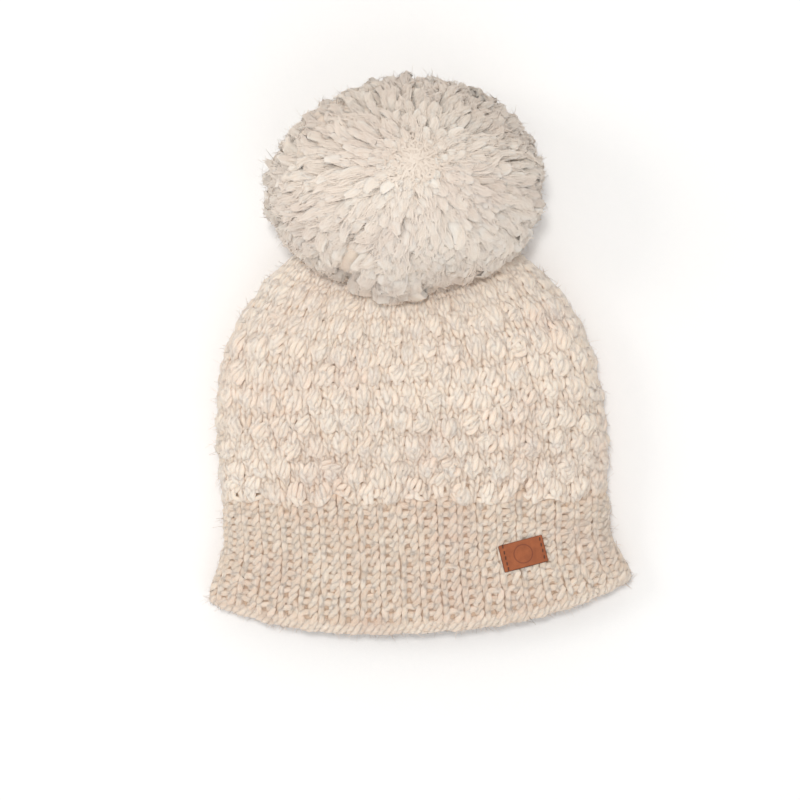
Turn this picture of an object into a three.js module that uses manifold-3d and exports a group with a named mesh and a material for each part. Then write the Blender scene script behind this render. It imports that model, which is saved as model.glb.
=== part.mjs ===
// A chunky hand-knitted wool hat with a big pompom, laid flat on its back as it lies on a table.
// Millimetres. +X is the wearer's left as seen from the front, +Y runs up the hat from the hem to the
// pompom, and +Z is up, so the front of the hat faces up and its back layer rests on z = 0.
import * as THREE from "three";
import { mergeGeometries, mergeVertices } from "three/addons/utils/BufferGeometryUtils.js";
import Module from "manifold-3d";

const wasm = await Module();
wasm.setup();

// Driving sizes, in millimetres.
const HEM_WIDTH = 233; // across the two corners of the hem, laid flat
const BODY_WIDTH = 215; // the widest place of the crown between its bobbles, laid flat
const HEM_SAG = 22.5; // the middle of the hem lies this much below its corners
const BAND_HEIGHT = 48; // ribbed band, from the hem's corners to its top
const CROWN_HEIGHT = 160; // from the top of the band to the gathered tip
const HEM_DEPTH = 27; // outside, front layer to back layer, at the hem
const WAIST_DEPTH = 40; // the same at the top of the band
const BODY_DEPTH = 48; // the same at the fullest part of the crown
const TIP_LIFT = 14; // the pompom holds the gathered tip this far off the table
const REST_SQUASH = 0.5; // how far the table flattens the stitches of the back layer
const WALL = 5; // thickness of the knitted fabric, without its relief
const HEM_ROUND = 1.7; // radius of the rolled lower edge
const RIB_RELIEF = 1.3; // how far a rib stands out
const BOBBLE_RELIEF = 2.8; // how far a bobble stands out
const PUCKER_RELIEF = 1.6; // height of the gathers round the tip
const TIP_HOLE = 9; // width of the drawn-up knot of gathers at the tip
const JOIN_GAP = 0.3; // between the band's top edge and the crown's lower edge
const SEAT_GAP = 0.4; // between the pompom or the patch and the knitting under it
const POMPOM_WIDTH = 162; // across, over the tips of its longest locks
const POMPOM_LENGTH = 127;
const POMPOM_THICKNESS = 115;
const POMPOM_OVERHANG = 16; // its middle lies this far past the crown's tip
const POMPOM_SQUASH = 4; // how far its underside is flattened by the table
const LOCK_LENGTH = 24; // the loose outer end of a lock of wool
const LOCK_WIDTH = 23;
const LOCK_OUT = 12.5; // how far the longest locks stand out of the pompom's core
const PATCH_WIDTH = 25;
const PATCH_HEIGHT = 15.3;
const PATCH_THICKNESS = 1.3;
const PATCH_RADIUS = 0.8; // at its four corners
const PATCH_RIGHT = 57.5; // middle of the patch, from the hat's middle line
const PATCH_UP = 19; // middle of the patch, above the hem's corners
const PATCH_TURN = THREE.MathUtils.degToRad(11.5);

const BAND_TILT = -4.5; // the band's top edge runs this much lower at +X than in the middle
const WIDEST_AT = 0.42; // height of the side fold, as a share of the depth
const FRONT_SQUARENESS = 2.5; // superellipse exponent of the front layer
const BACK_SQUARENESS = 4.5; // the back layer lies flat on the table
const HEM_SQUARENESS = 2.5; // exponent of the hem's sagging line
const FLARE_TOP = 0.7; // the band flares out below this share of its height

// Counts.
const RIBS = 72; // knit columns all round
const BOBBLE_ROWS = 13;
const BOBBLE_PAIRS = 36; // bobbles in one row, all round
const PUCKERS = 12;
const LOCKS = 76;
const LOCK_SIDES = 5;
const CORE_MERIDIANS = 14;
const CORE_PARALLELS = 9;
const GOLDEN_ANGLE = Math.PI * (3 - Math.sqrt(5)); // it spreads the locks evenly
const LOCK_UNEVENNESS = 0.09; // locks fall short by up to this share of the pompom's size
const LOCK_VARIETY = 2.4; // radians from one lock's shortness to the next one's

// A lock from its root to its end: shares of its width and of its length.
const LOCK_PROFILE = [
  { across: 0.0, along: 0.0 },
  { across: 0.52, along: 0.0 },
  { across: 1.0, along: 0.66 },
  { across: 0.68, along: 0.92 },
  { across: 0.0, along: 1.0 },
];

// The crown from the band to its tip, as shares: rise of its height, width of the body's width, swell
// from the waist's depth to the body's, taper of that depth, lift of the tip's lift, and dip of its
// height, by which the middle of the front lags behind its sides as the courses turn towards the tip.
const CROWN_SECTIONS = [
  { rise: 0.0, width: 0.985, swell: 0.0, taper: 1.0, lift: 0.0, dip: 0.0 },
  { rise: 0.133, width: 1.0, swell: 0.62, taper: 1.0, lift: 0.0, dip: 0.0 },
  { rise: 0.27, width: 1.0, swell: 0.92, taper: 1.0, lift: 0.0, dip: 0.005 },
  { rise: 0.419, width: 0.98, swell: 1.0, taper: 1.0, lift: 0.0, dip: 0.02 },
  { rise: 0.582, width: 0.918, swell: 1.0, taper: 0.96, lift: 0.02, dip: 0.052 },
  { rise: 0.755, width: 0.765, swell: 1.0, taper: 0.84, lift: 0.2, dip: 0.1 },
  { rise: 0.885, width: 0.555, swell: 1.0, taper: 0.66, lift: 0.55, dip: 0.112 },
  { rise: 0.96, width: 0.315, swell: 1.0, taper: 0.47, lift: 0.85, dip: 0.07 },
  { rise: 1.0, width: 0.0, swell: 1.0, taper: 0.3, lift: 1.0, dip: 0.0 },
];
const BOBBLES_FADE = 0.58; // bobbles grow flatter above this share of the way up the crown
const BOBBLES_END = 0.74;
const PUCKERS_START = 0.68; // where the gathers begin, and where they are deepest
const PUCKERS_DEEPEST = 0.9;

// Shares of the height of the band or of the crown at which their walls have rings between the ends.
const BAND_OUTSIDE = [0.3, 0.65];
const BAND_INSIDE = [0.5];
const CROWN_INSIDE = [0, 0.18, 0.36, 0.52, 0.66, 0.77, 0.86];
const SEAT_RINGS = [0.25, 0.4, 0.52, 0.63, 0.73, 0.82, 0.9, 0.96, 1];
const SEAT_POINTS = 40;

const { lerp, clamp, smoothstep } = THREE.MathUtils;

// A smooth curve through one column of the crown's table.
function sectionValue(share, column) {
  const last = CROWN_SECTIONS.length - 1;
  const at = clamp(share, 0, 1) * last;
  const i = Math.min(Math.floor(at), last - 1);
  const row = (k) => CROWN_SECTIONS[clamp(k, 0, last)][column];
  const t = at - i;
  const [a, b, c, d] = [row(i - 1), row(i), row(i + 1), row(i + 2)];
  return b + 0.5 * t * (c - a + t * (2 * a - 5 * b + 4 * c - d + t * (3 * (b - c) + d - a)));
}

// One closed ring of the knitting, by its outside sizes. yAt gives the height of its stitches at a
// share of the half width, -1 to 1, on the front or on the back layer.
function bandRing(share) {
  const waist = (BODY_WIDTH / 2) * CROWN_SECTIONS[0].width;
  const flare = 1 - smoothstep(share, 0, FLARE_TOP);
  return {
    half: lerp(waist, HEM_WIDTH / 2, flare),
    depth: lerp(HEM_DEPTH, WAIST_DEPTH, share),
    lift: 0,
    yAt: (side) =>
      lerp(HEM_SAG * (Math.abs(side) ** HEM_SQUARENESS - 1), BAND_HEIGHT + BAND_TILT * side, share),
  };
}

function crownRing(share) {
  const rise = sectionValue(share, "rise");
  const dip = CROWN_HEIGHT * sectionValue(share, "dip");
  const level = BAND_HEIGHT + CROWN_HEIGHT * rise;
  const tilt = BAND_TILT * (1 - rise);
  return {
    half: Math.max((BODY_WIDTH / 2) * sectionValue(share, "width"), TIP_HOLE / 2),
    depth: lerp(WAIST_DEPTH, BODY_DEPTH, sectionValue(share, "swell")) * sectionValue(share, "taper"),
    lift: TIP_LIFT * sectionValue(share, "lift"),
    yAt: (side) => level + tilt * side - dip * (1 - side * side),
  };
}

// A point of a ring's section at an angle, inset into the wall (or standing out where inset is below 0).
function sectionPoint(ring, inset, angle) {
  const half = Math.max(ring.half - inset, 0);
  const low = ring.lift + inset;
  const high = ring.lift + ring.depth - inset;
  const fold = lerp(low, high, WIDEST_AT);
  const front = Math.sin(angle) >= 0;
  const power = 2 / (front ? FRONT_SQUARENESS : BACK_SQUARENESS);
  const side = Math.sign(Math.cos(angle)) * Math.abs(Math.cos(angle)) ** power;
  const up = Math.abs(Math.sin(angle)) ** power;
  const z = lerp(fold, front ? high : low, up);
  return { side, x: half * side, z: Math.max(z - REST_SQUASH, 0) };
}

const FINE = 48; // steps in which the length of a layer is measured

// The angle of the section at a share u of the way round: 0 to 0.5 is the front layer, from the fold at
// +X to the fold at -X, and 0.5 to 1 the back layer. Each layer is divided by its own length.
function evenAngles(ring, inset, count) {
  const angles = [];
  for (const start of [0, Math.PI]) {
    const steps = start === 0 ? Math.ceil(count / 2) : Math.floor(count / 2);
    const at = (k) => sectionPoint(ring, inset, start + (Math.PI * k) / FINE);
    const lengths = [0];
    for (let k = 1; k <= FINE; k++)
      lengths.push(lengths[k - 1] + Math.hypot(at(k).x - at(k - 1).x, at(k).z - at(k - 1).z));
    for (let i = 0, k = 1; i < steps; i++) {
      const want = (lengths[FINE] * i) / steps;
      while (lengths[k] < want) k++;
      const part = (want - lengths[k - 1]) / (lengths[k] - lengths[k - 1]);
      angles.push(start + (Math.PI * (k - 1 + part)) / FINE);
    }
  }
  return angles;
}

// The points of one ring, count of them all round. relief(i) is how far point i stands out.
function ringPoints(ring, inset, count, relief = () => 0) {
  return evenAngles(ring, inset, count).map((angle, i) => {
    const p = sectionPoint(ring, inset - relief(i), angle);
    return [p.x, ring.yAt(p.side), p.z];
  });
}

// Joins a list of rings, each wound the same way, into triangles. raised(ring, i) tells where a bobble
// stands, so that the fold of each cell runs to it. A ring may have half as many points as the last.
function loft(rings, raised = () => false) {
  const points = rings.flat();
  const faces = [];
  let first = 0;
  rings.slice(1).forEach((next, r) => {
    const n = rings[r].length;
    const m = next.length;
    const a = (i) => first + (i % n);
    const b = (i) => first + n + (i % m);
    for (let i = 0; i < m && m < n; i++)
      faces.push([a(2 * i + 1), a(2 * i), b(i)], [a(2 * i + 2), a(2 * i + 1), b(i + 1)],
        [b(i + 1), a(2 * i + 1), b(i)]);
    for (let i = 0; i < n && m === n; i++) {
      if (raised(r, i) || raised(r + 1, (i + 1) % n))
        faces.push([a(i + 1), a(i), b(i + 1)], [b(i + 1), a(i), b(i)]);
      else faces.push([a(i + 1), a(i), b(i)], [b(i + 1), a(i + 1), b(i)]);
    }
    first += n;
  });
  return { points, faces };
}

// Closes a loft with a fan to the middle of its last ring, or of its first ring.
function cap(shape, count, atFirst = false) {
  const start = atFirst ? 0 : shape.points.length - count;
  const ring = shape.points.slice(start, start + count);
  const middle = [0, 1, 2].map((k) => ring.reduce((sum, p) => sum + p[k], 0) / count);
  const centre = shape.points.push(middle) - 1;
  for (let i = 0; i < count; i++) {
    const face = [start + ((i + 1) % count), start + i, centre];
    shape.faces.push(atFirst ? face.reverse() : face);
  }
  return shape;
}

function geometryOf({ points, faces }) {
  const geometry = new THREE.BufferGeometry();
  geometry.setAttribute("position", new THREE.Float32BufferAttribute(points.flat(), 3));
  geometry.setIndex(faces.flat());
  return geometry;
}

const reversed = ({ points, faces }) => ({ points, faces: faces.map((f) => [...f].reverse()) });

// Ribbed band: 1 x 1 ribs, the same inside and out, with a thick rounded hem.
function bandGeometry() {
  const count = RIBS * 2;
  const rib = (i) => (i % 2 === 0 ? RIB_RELIEF : 0);
  const groove = (i) => (i % 2 === 0 ? 0 : -RIB_RELIEF / 2);
  const hemShare = HEM_ROUND / (BAND_HEIGHT + HEM_SAG);
  const top = 1 - JOIN_GAP / BAND_HEIGHT;
  const outer = [hemShare, ...BAND_OUTSIDE, top].map((s) => ringPoints(bandRing(s), 0, count, rib));
  const inner = [top, ...BAND_INSIDE, hemShare].map((s) => ringPoints(bandRing(s), WALL, count, groove));
  const hem = [WALL - HEM_ROUND, HEM_ROUND].map((inset) => ringPoints(bandRing(0), inset, count));
  // The first ring comes again at the end, so that the wall closes on itself.
  const shape = loft([...hem, ...outer, ...inner, hem[0]]);
  return mergeVertices(geometryOf(shape), 1e-4);
}

// How far point i of crown ring r stands out: bobbles in staggered rows, then gathers round the tip.
const CROWN_STEPS = BOBBLE_ROWS * 2;
const isBobble = (r, i) => r % 2 === 1 && (i + (r - 1) / 2) % 2 === 0 && r / CROWN_STEPS < BOBBLES_END;

function crownRelief(r, i, count) {
  const share = r / CROWN_STEPS;
  const fade = 1 - smoothstep(share, BOBBLES_FADE, BOBBLES_END);
  const gather = smoothstep(share, PUCKERS_START, PUCKERS_DEEPEST) - smoothstep(share, PUCKERS_DEEPEST, 1);
  const wave = (Math.cos((2 * Math.PI * PUCKERS * i) / count) - 1) / 2;
  return (isBobble(r, i) ? BOBBLE_RELIEF * fade : 0) + PUCKER_RELIEF * gather * wave;
}

// Crown: one knitted wall with a bobbled outside and a plain inside, open at the band and drawn
// together at the tip.
function crownGeometry() {
  const count = BOBBLE_PAIRS * 2;
  const outer = [];
  for (let r = 0; r <= CROWN_STEPS; r++)
    outer.push(ringPoints(crownRing(r / CROWN_STEPS), 0, count, (i) => crownRelief(r, i, count)));
  const inner = CROWN_INSIDE.map((s) => ringPoints(crownRing(s), WALL, count / 2));
  const outside = cap(loft(outer, isBobble), count);
  const inside = cap(loft(inner), count / 2);
  const rim = loft([outer[0], inner[0]]);
  return mergeVertices(
    mergeGeometries([geometryOf(outside), geometryOf(reversed(inside)), geometryOf(reversed(rim))]),
    1e-4,
  );
}

function solidOf(geometry) {
  const bare = mergeVertices(geometry.clone().deleteAttribute("normal").deleteAttribute("uv"), 1e-3);
  const { array } = bare.attributes.position;
  return new wasm.Manifold(new wasm.Mesh({ numProp: 3, vertProperties: array, triVerts: bare.index.array }));
}

function geometryFrom(solid) {
  const { vertProperties, triVerts } = solid.getMesh();
  const geometry = new THREE.BufferGeometry();
  geometry.setAttribute("position", new THREE.BufferAttribute(vertProperties, 3));
  geometry.setIndex(new THREE.BufferAttribute(triVerts, 1));
  return geometry;
}

// The room that the crown takes, filled and a little larger, which the pompom is seated round.
function crownRoom() {
  const grow = -(BOBBLE_RELIEF + SEAT_GAP);
  const rings = SEAT_RINGS.map((s) => ringPoints(crownRing(s), grow, SEAT_POINTS));
  const beyond = rings.at(-1).map(([x, y, z]) => [x, y + SEAT_GAP, z]);
  return solidOf(geometryOf(cap(cap(loft([...rings, beyond]), SEAT_POINTS), SEAT_POINTS, true)));
}

// A lock of wool: a tapered body with a blunt round end, standing along +Y from its root.
function lockGeometry(length, width) {
  const profile = LOCK_PROFILE.map(({ across, along }) =>
    new THREE.Vector2((across * width) / 2, along * length));
  return new THREE.LatheGeometry(profile, LOCK_SIDES);
}

// Pompom: locks of wool all round a core, seated over the crown's tip and flattened by the table.
function pompomGeometry() {
  const size = new THREE.Vector3(POMPOM_WIDTH, POMPOM_LENGTH, POMPOM_THICKNESS).multiplyScalar(0.5);
  const middleY = BAND_HEIGHT + CROWN_HEIGHT + POMPOM_OVERHANG;
  const middleZ = POMPOM_THICKNESS / 2 - POMPOM_SQUASH;
  const core = new THREE.SphereGeometry(1, CORE_MERIDIANS, CORE_PARALLELS);
  core.scale(size.x - LOCK_OUT, size.y - LOCK_OUT, size.z - LOCK_OUT);
  let pompom = solidOf(core);
  for (let i = 0; i < LOCKS; i++) {
    const z = 1 - (2 * (i + 0.5)) / LOCKS;
    const r = Math.sqrt(1 - z * z);
    const way = new THREE.Vector3(r * Math.cos(i * GOLDEN_ANGLE), r * Math.sin(i * GOLDEN_ANGLE), z);
    const shortness = (LOCK_UNEVENNESS * (1 - Math.cos(i * LOCK_VARIETY))) / 2;
    const tip = way.multiply(size).multiplyScalar(1 - shortness);
    const outward = tip.clone().normalize();
    const root = tip.clone().addScaledVector(outward, -LOCK_LENGTH);
    const lock = lockGeometry(LOCK_LENGTH, LOCK_WIDTH * (1 - shortness));
    lock.applyQuaternion(new THREE.Quaternion().setFromUnitVectors(new THREE.Vector3(0, 1, 0), outward));
    lock.translate(root.x, root.y, root.z);
    pompom = pompom.add(solidOf(lock));
  }
  const table = new THREE.BoxGeometry(POMPOM_WIDTH * 2, POMPOM_LENGTH * 2, POMPOM_THICKNESS);
  table.translate(0, middleY, -POMPOM_THICKNESS / 2);
  const seated = pompom.translate([0, middleY, middleZ]).subtract(crownRoom()).subtract(solidOf(table));
  const [largest] = seated.decompose().sort((a, b) => b.volume() - a.volume());
  return geometryFrom(largest);
}

// The height of the ribs' tops over a place on the front of the band.
function bandTop(x, y) {
  let share = 0.5;
  for (let step = share / 2; step > 1e-6; step /= 2) {
    const at = bandRing(share);
    share += at.yAt(x / at.half) < y ? step : -step;
  }
  const ring = bandRing(share);
  const side = Math.min(Math.abs(x) / (ring.half + RIB_RELIEF), 1);
  const up = (1 - side ** FRONT_SQUARENESS) ** (1 / FRONT_SQUARENESS);
  const fold = lerp(-RIB_RELIEF, ring.depth + RIB_RELIEF, WIDEST_AT);
  return lerp(fold, ring.depth + RIB_RELIEF, up) - REST_SQUASH;
}

// Leather patch: a small plate with round corners, bent to lie on the ribs. It is lofted through upright
// sections, three at each round end and three between.
function patchGeometry() {
  const [w, h, r] = [PATCH_WIDTH / 2, PATCH_HEIGHT / 2, PATCH_RADIUS];
  const corner = r * (1 - Math.SQRT1_2);
  const stations = [-w, corner - w, r - w, -w / 2, 0, w / 2, w - r, w - corner, w];
  const place = (x, y, z) => {
    const placeX = PATCH_RIGHT + x * Math.cos(PATCH_TURN) - y * Math.sin(PATCH_TURN);
    const placeY = PATCH_UP + x * Math.sin(PATCH_TURN) + y * Math.cos(PATCH_TURN);
    return [placeX, placeY, bandTop(placeX, placeY) + SEAT_GAP + z];
  };
  const rings = stations.map((x) => {
    const past = Math.max(Math.abs(x) - (w - r), 0);
    const half = h - r + Math.sqrt(Math.max(r * r - past * past, 0));
    return [
      place(x, half, PATCH_THICKNESS),
      place(x, half, 0),
      place(x, -half, 0),
      place(x, -half, PATCH_THICKNESS),
    ];
  });
  return mergeVertices(geometryOf(cap(cap(loft(rings), 4), 4, true)), 1e-4);
}

const MATERIALS = {
  wool: { color: 0xe6d6c4, roughness: 0.95, metalness: 0 },
  roving: { color: 0xeee3d8, roughness: 0.95, metalness: 0 },
  leather: { color: 0xa9623f, roughness: 0.6, metalness: 0 },
};

function piece(name, geometry, finish) {
  const mesh = new THREE.Mesh(geometry, new THREE.MeshStandardMaterial(MATERIALS[finish]));
  mesh.name = name;
  return mesh;
}

const hat = new THREE.Group();
hat.add(piece("ribbed_band", bandGeometry(), "wool"));
hat.add(piece("crown", crownGeometry(), "wool"));
hat.add(piece("pompom", pompomGeometry(), "roving"));
hat.add(piece("leather_patch", patchGeometry(), "leather"));

// The origin is the middle of the hat's box, on the table.
const box = new THREE.Box3().setFromObject(hat);
const middle = box.getCenter(new THREE.Vector3());
hat.position.set(-middle.x, -middle.y, -box.min.z);
export default hat;
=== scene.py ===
# %% [markdown]
# # A chunky knitted wool hat with a big pompom
# The hat lies flat on its back on a pale table, and the camera looks straight down on it.
# A plain smooth solid can't look like knitting, because what the eye reads as wool is the way that
# one thick yarn runs over and under itself. So the yarn itself is laid here, loop by loop, over the
# same outside form that the CAD solids have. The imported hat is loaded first, and gives every place.

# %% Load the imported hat
import math

import bpy
import numpy as np
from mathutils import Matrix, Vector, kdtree


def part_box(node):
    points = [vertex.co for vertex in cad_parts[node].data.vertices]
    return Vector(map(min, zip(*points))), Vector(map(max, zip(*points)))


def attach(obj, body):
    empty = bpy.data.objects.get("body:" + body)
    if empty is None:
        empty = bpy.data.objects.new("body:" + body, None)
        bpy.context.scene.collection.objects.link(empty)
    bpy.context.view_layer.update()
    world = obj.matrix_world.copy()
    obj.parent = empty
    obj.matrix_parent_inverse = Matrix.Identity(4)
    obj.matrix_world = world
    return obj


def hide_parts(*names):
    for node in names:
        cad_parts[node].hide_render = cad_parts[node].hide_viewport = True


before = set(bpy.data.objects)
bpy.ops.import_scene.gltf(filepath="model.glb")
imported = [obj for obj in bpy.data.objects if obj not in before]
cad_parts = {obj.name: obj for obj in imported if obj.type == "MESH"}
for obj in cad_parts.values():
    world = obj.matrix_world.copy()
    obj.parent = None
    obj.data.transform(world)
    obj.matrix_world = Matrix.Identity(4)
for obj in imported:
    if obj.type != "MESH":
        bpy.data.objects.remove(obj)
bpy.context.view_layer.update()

# %% [markdown]
# ## The sizes of the hat
# All making is done in millimetres and is turned into metres when a mesh is made. The sizes are
# those of the solids, so that the yarn lies where they are. A hand knitter would measure the same
# ones: the width of the hem, the height of the ribbing and of the crown, and how deep the hat is
# when it lies down.

# %% Sizes
HEM_WIDTH = 233
BODY_WIDTH = 215
HEM_SAG = 22.5
BAND_HEIGHT = 48
CROWN_HEIGHT = 160
HEM_DEPTH = 27
WAIST_DEPTH = 40
BODY_DEPTH = 48
TIP_LIFT = 14
TIP_HOLE = 9
WALL = 5
BAND_TILT = -4.5
WIDEST_AT = 0.42
FRONT_SQUARENESS = 2.5
BACK_SQUARENESS = 4.5
HEM_SQUARENESS = 2.5
FLARE_TOP = 0.7
PATCH_SIZE = np.array([25, 15.3, 1.3])
PATCH_PLACE = np.array([57.5, 19])
PATCH_TURN = math.radians(11.5)
RIB_RELIEF = 1.3
SEAT_GAP = 0.4

# Columns: rise, width, swell, taper, lift and dip, as shares.
CROWN_SECTIONS = np.array([
    [0.000, 0.985, 0.00, 1.00, 0.00, 0.000],
    [0.133, 1.000, 0.62, 1.00, 0.00, 0.000],
    [0.270, 1.000, 0.92, 1.00, 0.00, 0.005],
    [0.419, 0.980, 1.00, 1.00, 0.00, 0.020],
    [0.582, 0.918, 1.00, 0.96, 0.02, 0.052],
    [0.755, 0.765, 1.00, 0.84, 0.20, 0.100],
    [0.885, 0.555, 1.00, 0.66, 0.55, 0.112],
    [0.960, 0.315, 1.00, 0.47, 0.85, 0.070],
    [1.000, 0.000, 1.00, 0.30, 1.00, 0.000],
])

# The solids' own zero height is the line between the hem's corners.
HEM_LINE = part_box("ribbed_band")[0][1] * 1000 + HEM_SAG
pompom_box = np.array(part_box("pompom")) * 1000
POMPOM_SIZE = (pompom_box[1] - pompom_box[0]) / 2
POMPOM_SIZE[2] += 2
POMPOM_PLACE = (pompom_box[1] + pompom_box[0]) / 2 - [0, 0, 2]
print("hem line at", round(HEM_LINE, 1), "mm along the hat, pompom", np.round(POMPOM_SIZE * 2, 1).tolist())

# %% [markdown]
# ## Blending numbers
# A few small helpers do most of the shaping: one goes in a straight line from a value to another, one
# does it with soft ends, and one runs a smooth curve through a row of values. They work on whole
# arrays at once, which is what makes it possible to lay thousands of loops in a few seconds. Wool
# that would go through the table is pressed flat on it.

# %% Blending helpers


def lerp(start, end, share):
    return start + (end - start) * share


def soft_step(value, low, high):
    share = np.clip((value - low) / (high - low), 0, 1)
    return share * share * (3 - 2 * share)


def curve(a, b, c, d, t):
    """A Catmull-Rom curve from b to c, where t runs from 0 to 1 and a and d are the values beside."""
    return b + 0.5 * t * (c - a + t * (2 * a - 5 * b + 4 * c - d + t * (3 * (b - c) + d - a)))


def unit(vectors):
    length = np.linalg.norm(vectors, axis=-1, keepdims=True)
    return vectors / np.maximum(length, 1e-9)


def soft_floor(points, softness=1.3):
    """Presses what would go through the table flat on it."""
    low = points[..., 2] < softness
    pressed = softness * np.exp(np.minimum(points[..., 2] / softness - 1, 0))
    points[..., 2] = np.where(low, pressed, points[..., 2])
    return points


print("a soft step, a quarter of the way up:", soft_step(0.25, 0, 1))

# %% [markdown]
# ## The rings of the fabric
# Knitting grows in rings, so the form of the hat is given as rings too. Each ring knows its half
# width, its depth from the front layer to the back layer, how far it is lifted off the table, and
# where its stitches lie along the hat. The hem hangs lower in the middle, and near the pompom the
# middle of the front lags behind the sides, because the fabric is drawn together there.

# %% Rings of the band and of the crown


def section_value(share, column):
    table = CROWN_SECTIONS[:, column]
    last = len(table) - 1
    at = min(max(share, 0), 1) * last
    i = min(int(at), last - 1)
    return curve(table[max(i - 1, 0)], table[i], table[i + 1], table[min(i + 2, last)], at - i)


def band_half(share):
    """Half the width of the band, which flares out towards the hem."""
    waist = BODY_WIDTH / 2 * CROWN_SECTIONS[0, 1]
    return lerp(waist, HEM_WIDTH / 2, 1 - soft_step(share, 0, FLARE_TOP))


def band_line(side, share):
    """How far along the hat a ring of the band lies, from its left side, -1, to its right side, 1."""
    hem = HEM_SAG * (np.abs(side) ** HEM_SQUARENESS - 1)
    return lerp(hem, BAND_HEIGHT + BAND_TILT * side, share)


def band_ring(share):
    return {
        "half": band_half(share),
        "depth": lerp(HEM_DEPTH, WAIST_DEPTH, share),
        "lift": 0,
        "y": lambda side: band_line(side, share),
    }


def crown_ring(share):
    rise, width, swell, taper, lift, dip = (section_value(share, k) for k in range(6))
    level = BAND_HEIGHT + CROWN_HEIGHT * rise
    return {
        "half": max(BODY_WIDTH / 2 * width, TIP_HOLE / 2),
        "depth": lerp(WAIST_DEPTH, BODY_DEPTH, swell) * taper,
        "lift": TIP_LIFT * lift,
        "y": lambda side: level
        + BAND_TILT * (1 - rise) * side
        - CROWN_HEIGHT * dip * (1 - side * side),
    }


print("width of the band at the hem and at the crown:", 2 * band_half(0.0), 2 * band_half(1.0), "mm")

# %% [markdown]
# A ring is two layers: a rounded front that bulges up and a flatter back that lies on the table, and
# they meet at the two folds. Both are drawn as superellipses, whose squareness is a single number.
# The stitches are to be evenly spaced, so each layer is divided by its length, not by its angle.

# %% Points round a ring


def ring_points(ring, count, fine=240):
    """Points that divide each layer of a ring evenly, first the front layer, then the back one."""
    points = []
    for start, squareness in ((0, FRONT_SQUARENESS), (math.pi, BACK_SQUARENESS)):
        angle = start + np.linspace(0, math.pi, fine + 1)
        side = np.sign(np.cos(angle)) * np.abs(np.cos(angle)) ** (2 / squareness)
        up = np.abs(np.sin(angle)) ** (2 / squareness)
        fold = ring["lift"] + ring["depth"] * WIDEST_AT
        far = ring["lift"] + (ring["depth"] if start == 0 else 0)
        x, z = ring["half"] * side, lerp(fold, far, up)
        length = np.append(0, np.cumsum(np.hypot(np.diff(x), np.diff(z))))
        want = length[-1] * np.arange(count // 2) / (count // 2)
        side = np.interp(want, length, side)
        points.append(np.stack([
            ring["half"] * side,
            ring["y"](side) + HEM_LINE,
            np.interp(want, length, z),
        ], axis=-1))
    return np.concatenate(points)


print("waist ring:", np.round(ring_points(crown_ring(0), 8)[:, :2], 1).tolist()[:3])

# %% [markdown]
# ## A fabric to knit on
# A fabric here is a grid of points with outward directions. A stitch is placed on it by three
# numbers: u is the share of the way round the hat, v the share of the way up, and h the height over
# the fabric in millimetres. A loop can then be drawn once, flat, and be set anywhere on the hat.

# %% Fabric


class Fabric:
    def __init__(self, ring, low, high, rows, columns):
        self.low, self.high = low, high
        shares = np.linspace(low, high, rows)
        self.points = np.array([ring_points(ring(share), columns) for share in shares])
        around = (np.roll(self.points, -1, 1) - np.roll(self.points, 1, 1)) / 2
        along = np.gradient(self.points, axis=0)
        self.normals = unit(np.cross(along, around))
        self.round = np.linalg.norm(around, axis=-1, keepdims=True) * columns
        self.tall = np.linalg.norm(along, axis=-1, keepdims=True) * (rows - 1) / (high - low)

    def sample(self, grid, u, v):
        rows, columns = grid.shape[:2]
        r = np.clip((v - self.low) / (self.high - self.low), 0, 1) * (rows - 1)
        i = np.minimum(r.astype(int), rows - 2)
        c = (u % 1) * columns
        j = np.minimum(c.astype(int), columns - 1)
        s, t = (r - i)[..., None], (c - j)[..., None]
        k = (j + 1) % columns
        return lerp(lerp(grid[i, j], grid[i, k], t), lerp(grid[i + 1, j], grid[i + 1, k], t), s)

    def place(self, u, v, h):
        """Points at a height over the fabric, and the outward directions there."""
        u, v, h = np.broadcast_arrays(u, v, h)
        normals = unit(self.sample(self.normals, u, v))
        points = self.sample(self.points, u, v) + normals * h[..., None]
        return soft_floor(points), normals


band = Fabric(band_ring, -0.08, 1.0, 68, 480)
crown = Fabric(crown_ring, 0, 1, 160, 480)
print("round the hem:", round(float(band.round[6].mean())), "mm")

# %% [markdown]
# ## Smooth paths
# A loop is given by a few points, and a smooth curve is drawn through them. All the strands of a
# piece are worked out together, because they have the same number of points.

# %% Smooth paths


def smooth_paths(controls, samples):
    """Smooth curves through the controls, which are ordered by strand, point and value."""
    spans = controls.shape[1] - 1
    at = np.linspace(0, spans, samples)
    i = np.minimum(at.astype(int), spans - 1)
    beside = (controls[:, np.clip(i + k, 0, spans)] for k in (-1, 0, 1, 2))
    return curve(*beside, (at - i)[None, :, None])


step_up = np.array([0.0, 0.0, 1.0, 1.0]).reshape(1, 4, 1)
print("a step made smooth:", np.round(smooth_paths(step_up, 7).ravel(), 2).tolist())

# %% [markdown]
# ## How a tube is held and closed
# A tube needs a direction that stands on its path at every step, or it would twist at random. A
# round tube hands this direction on from step to step, and a flat one takes it from the fabric that
# it lies on. A tube that goes once round the hat meets itself, so its first and last step share one
# direction, and it needs no caps.

# %% Holding and closing a tube


def held(paths, normals, flat, ends):
    """The direction along each path, and the one that stands on it, at every step."""
    tangents = unit(np.gradient(paths, axis=1))
    if not ends:
        tangents[:, 0] = tangents[:, -1] = unit(tangents[:, 0] + tangents[:, -1])
    up = np.empty_like(paths)
    first = normals[:, 0] - tangents[:, 0] * np.sum(normals[:, 0] * tangents[:, 0], -1)[:, None]
    up[:, 0] = unit(first)
    for k in range(1, paths.shape[1]):
        hint = up[:, k - 1] if flat == 1.0 else normals[:, k]
        along = tangents[:, k]
        up[:, k] = unit(hint - along * np.sum(hint * along, -1)[:, None])
    return tangents, up


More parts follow.
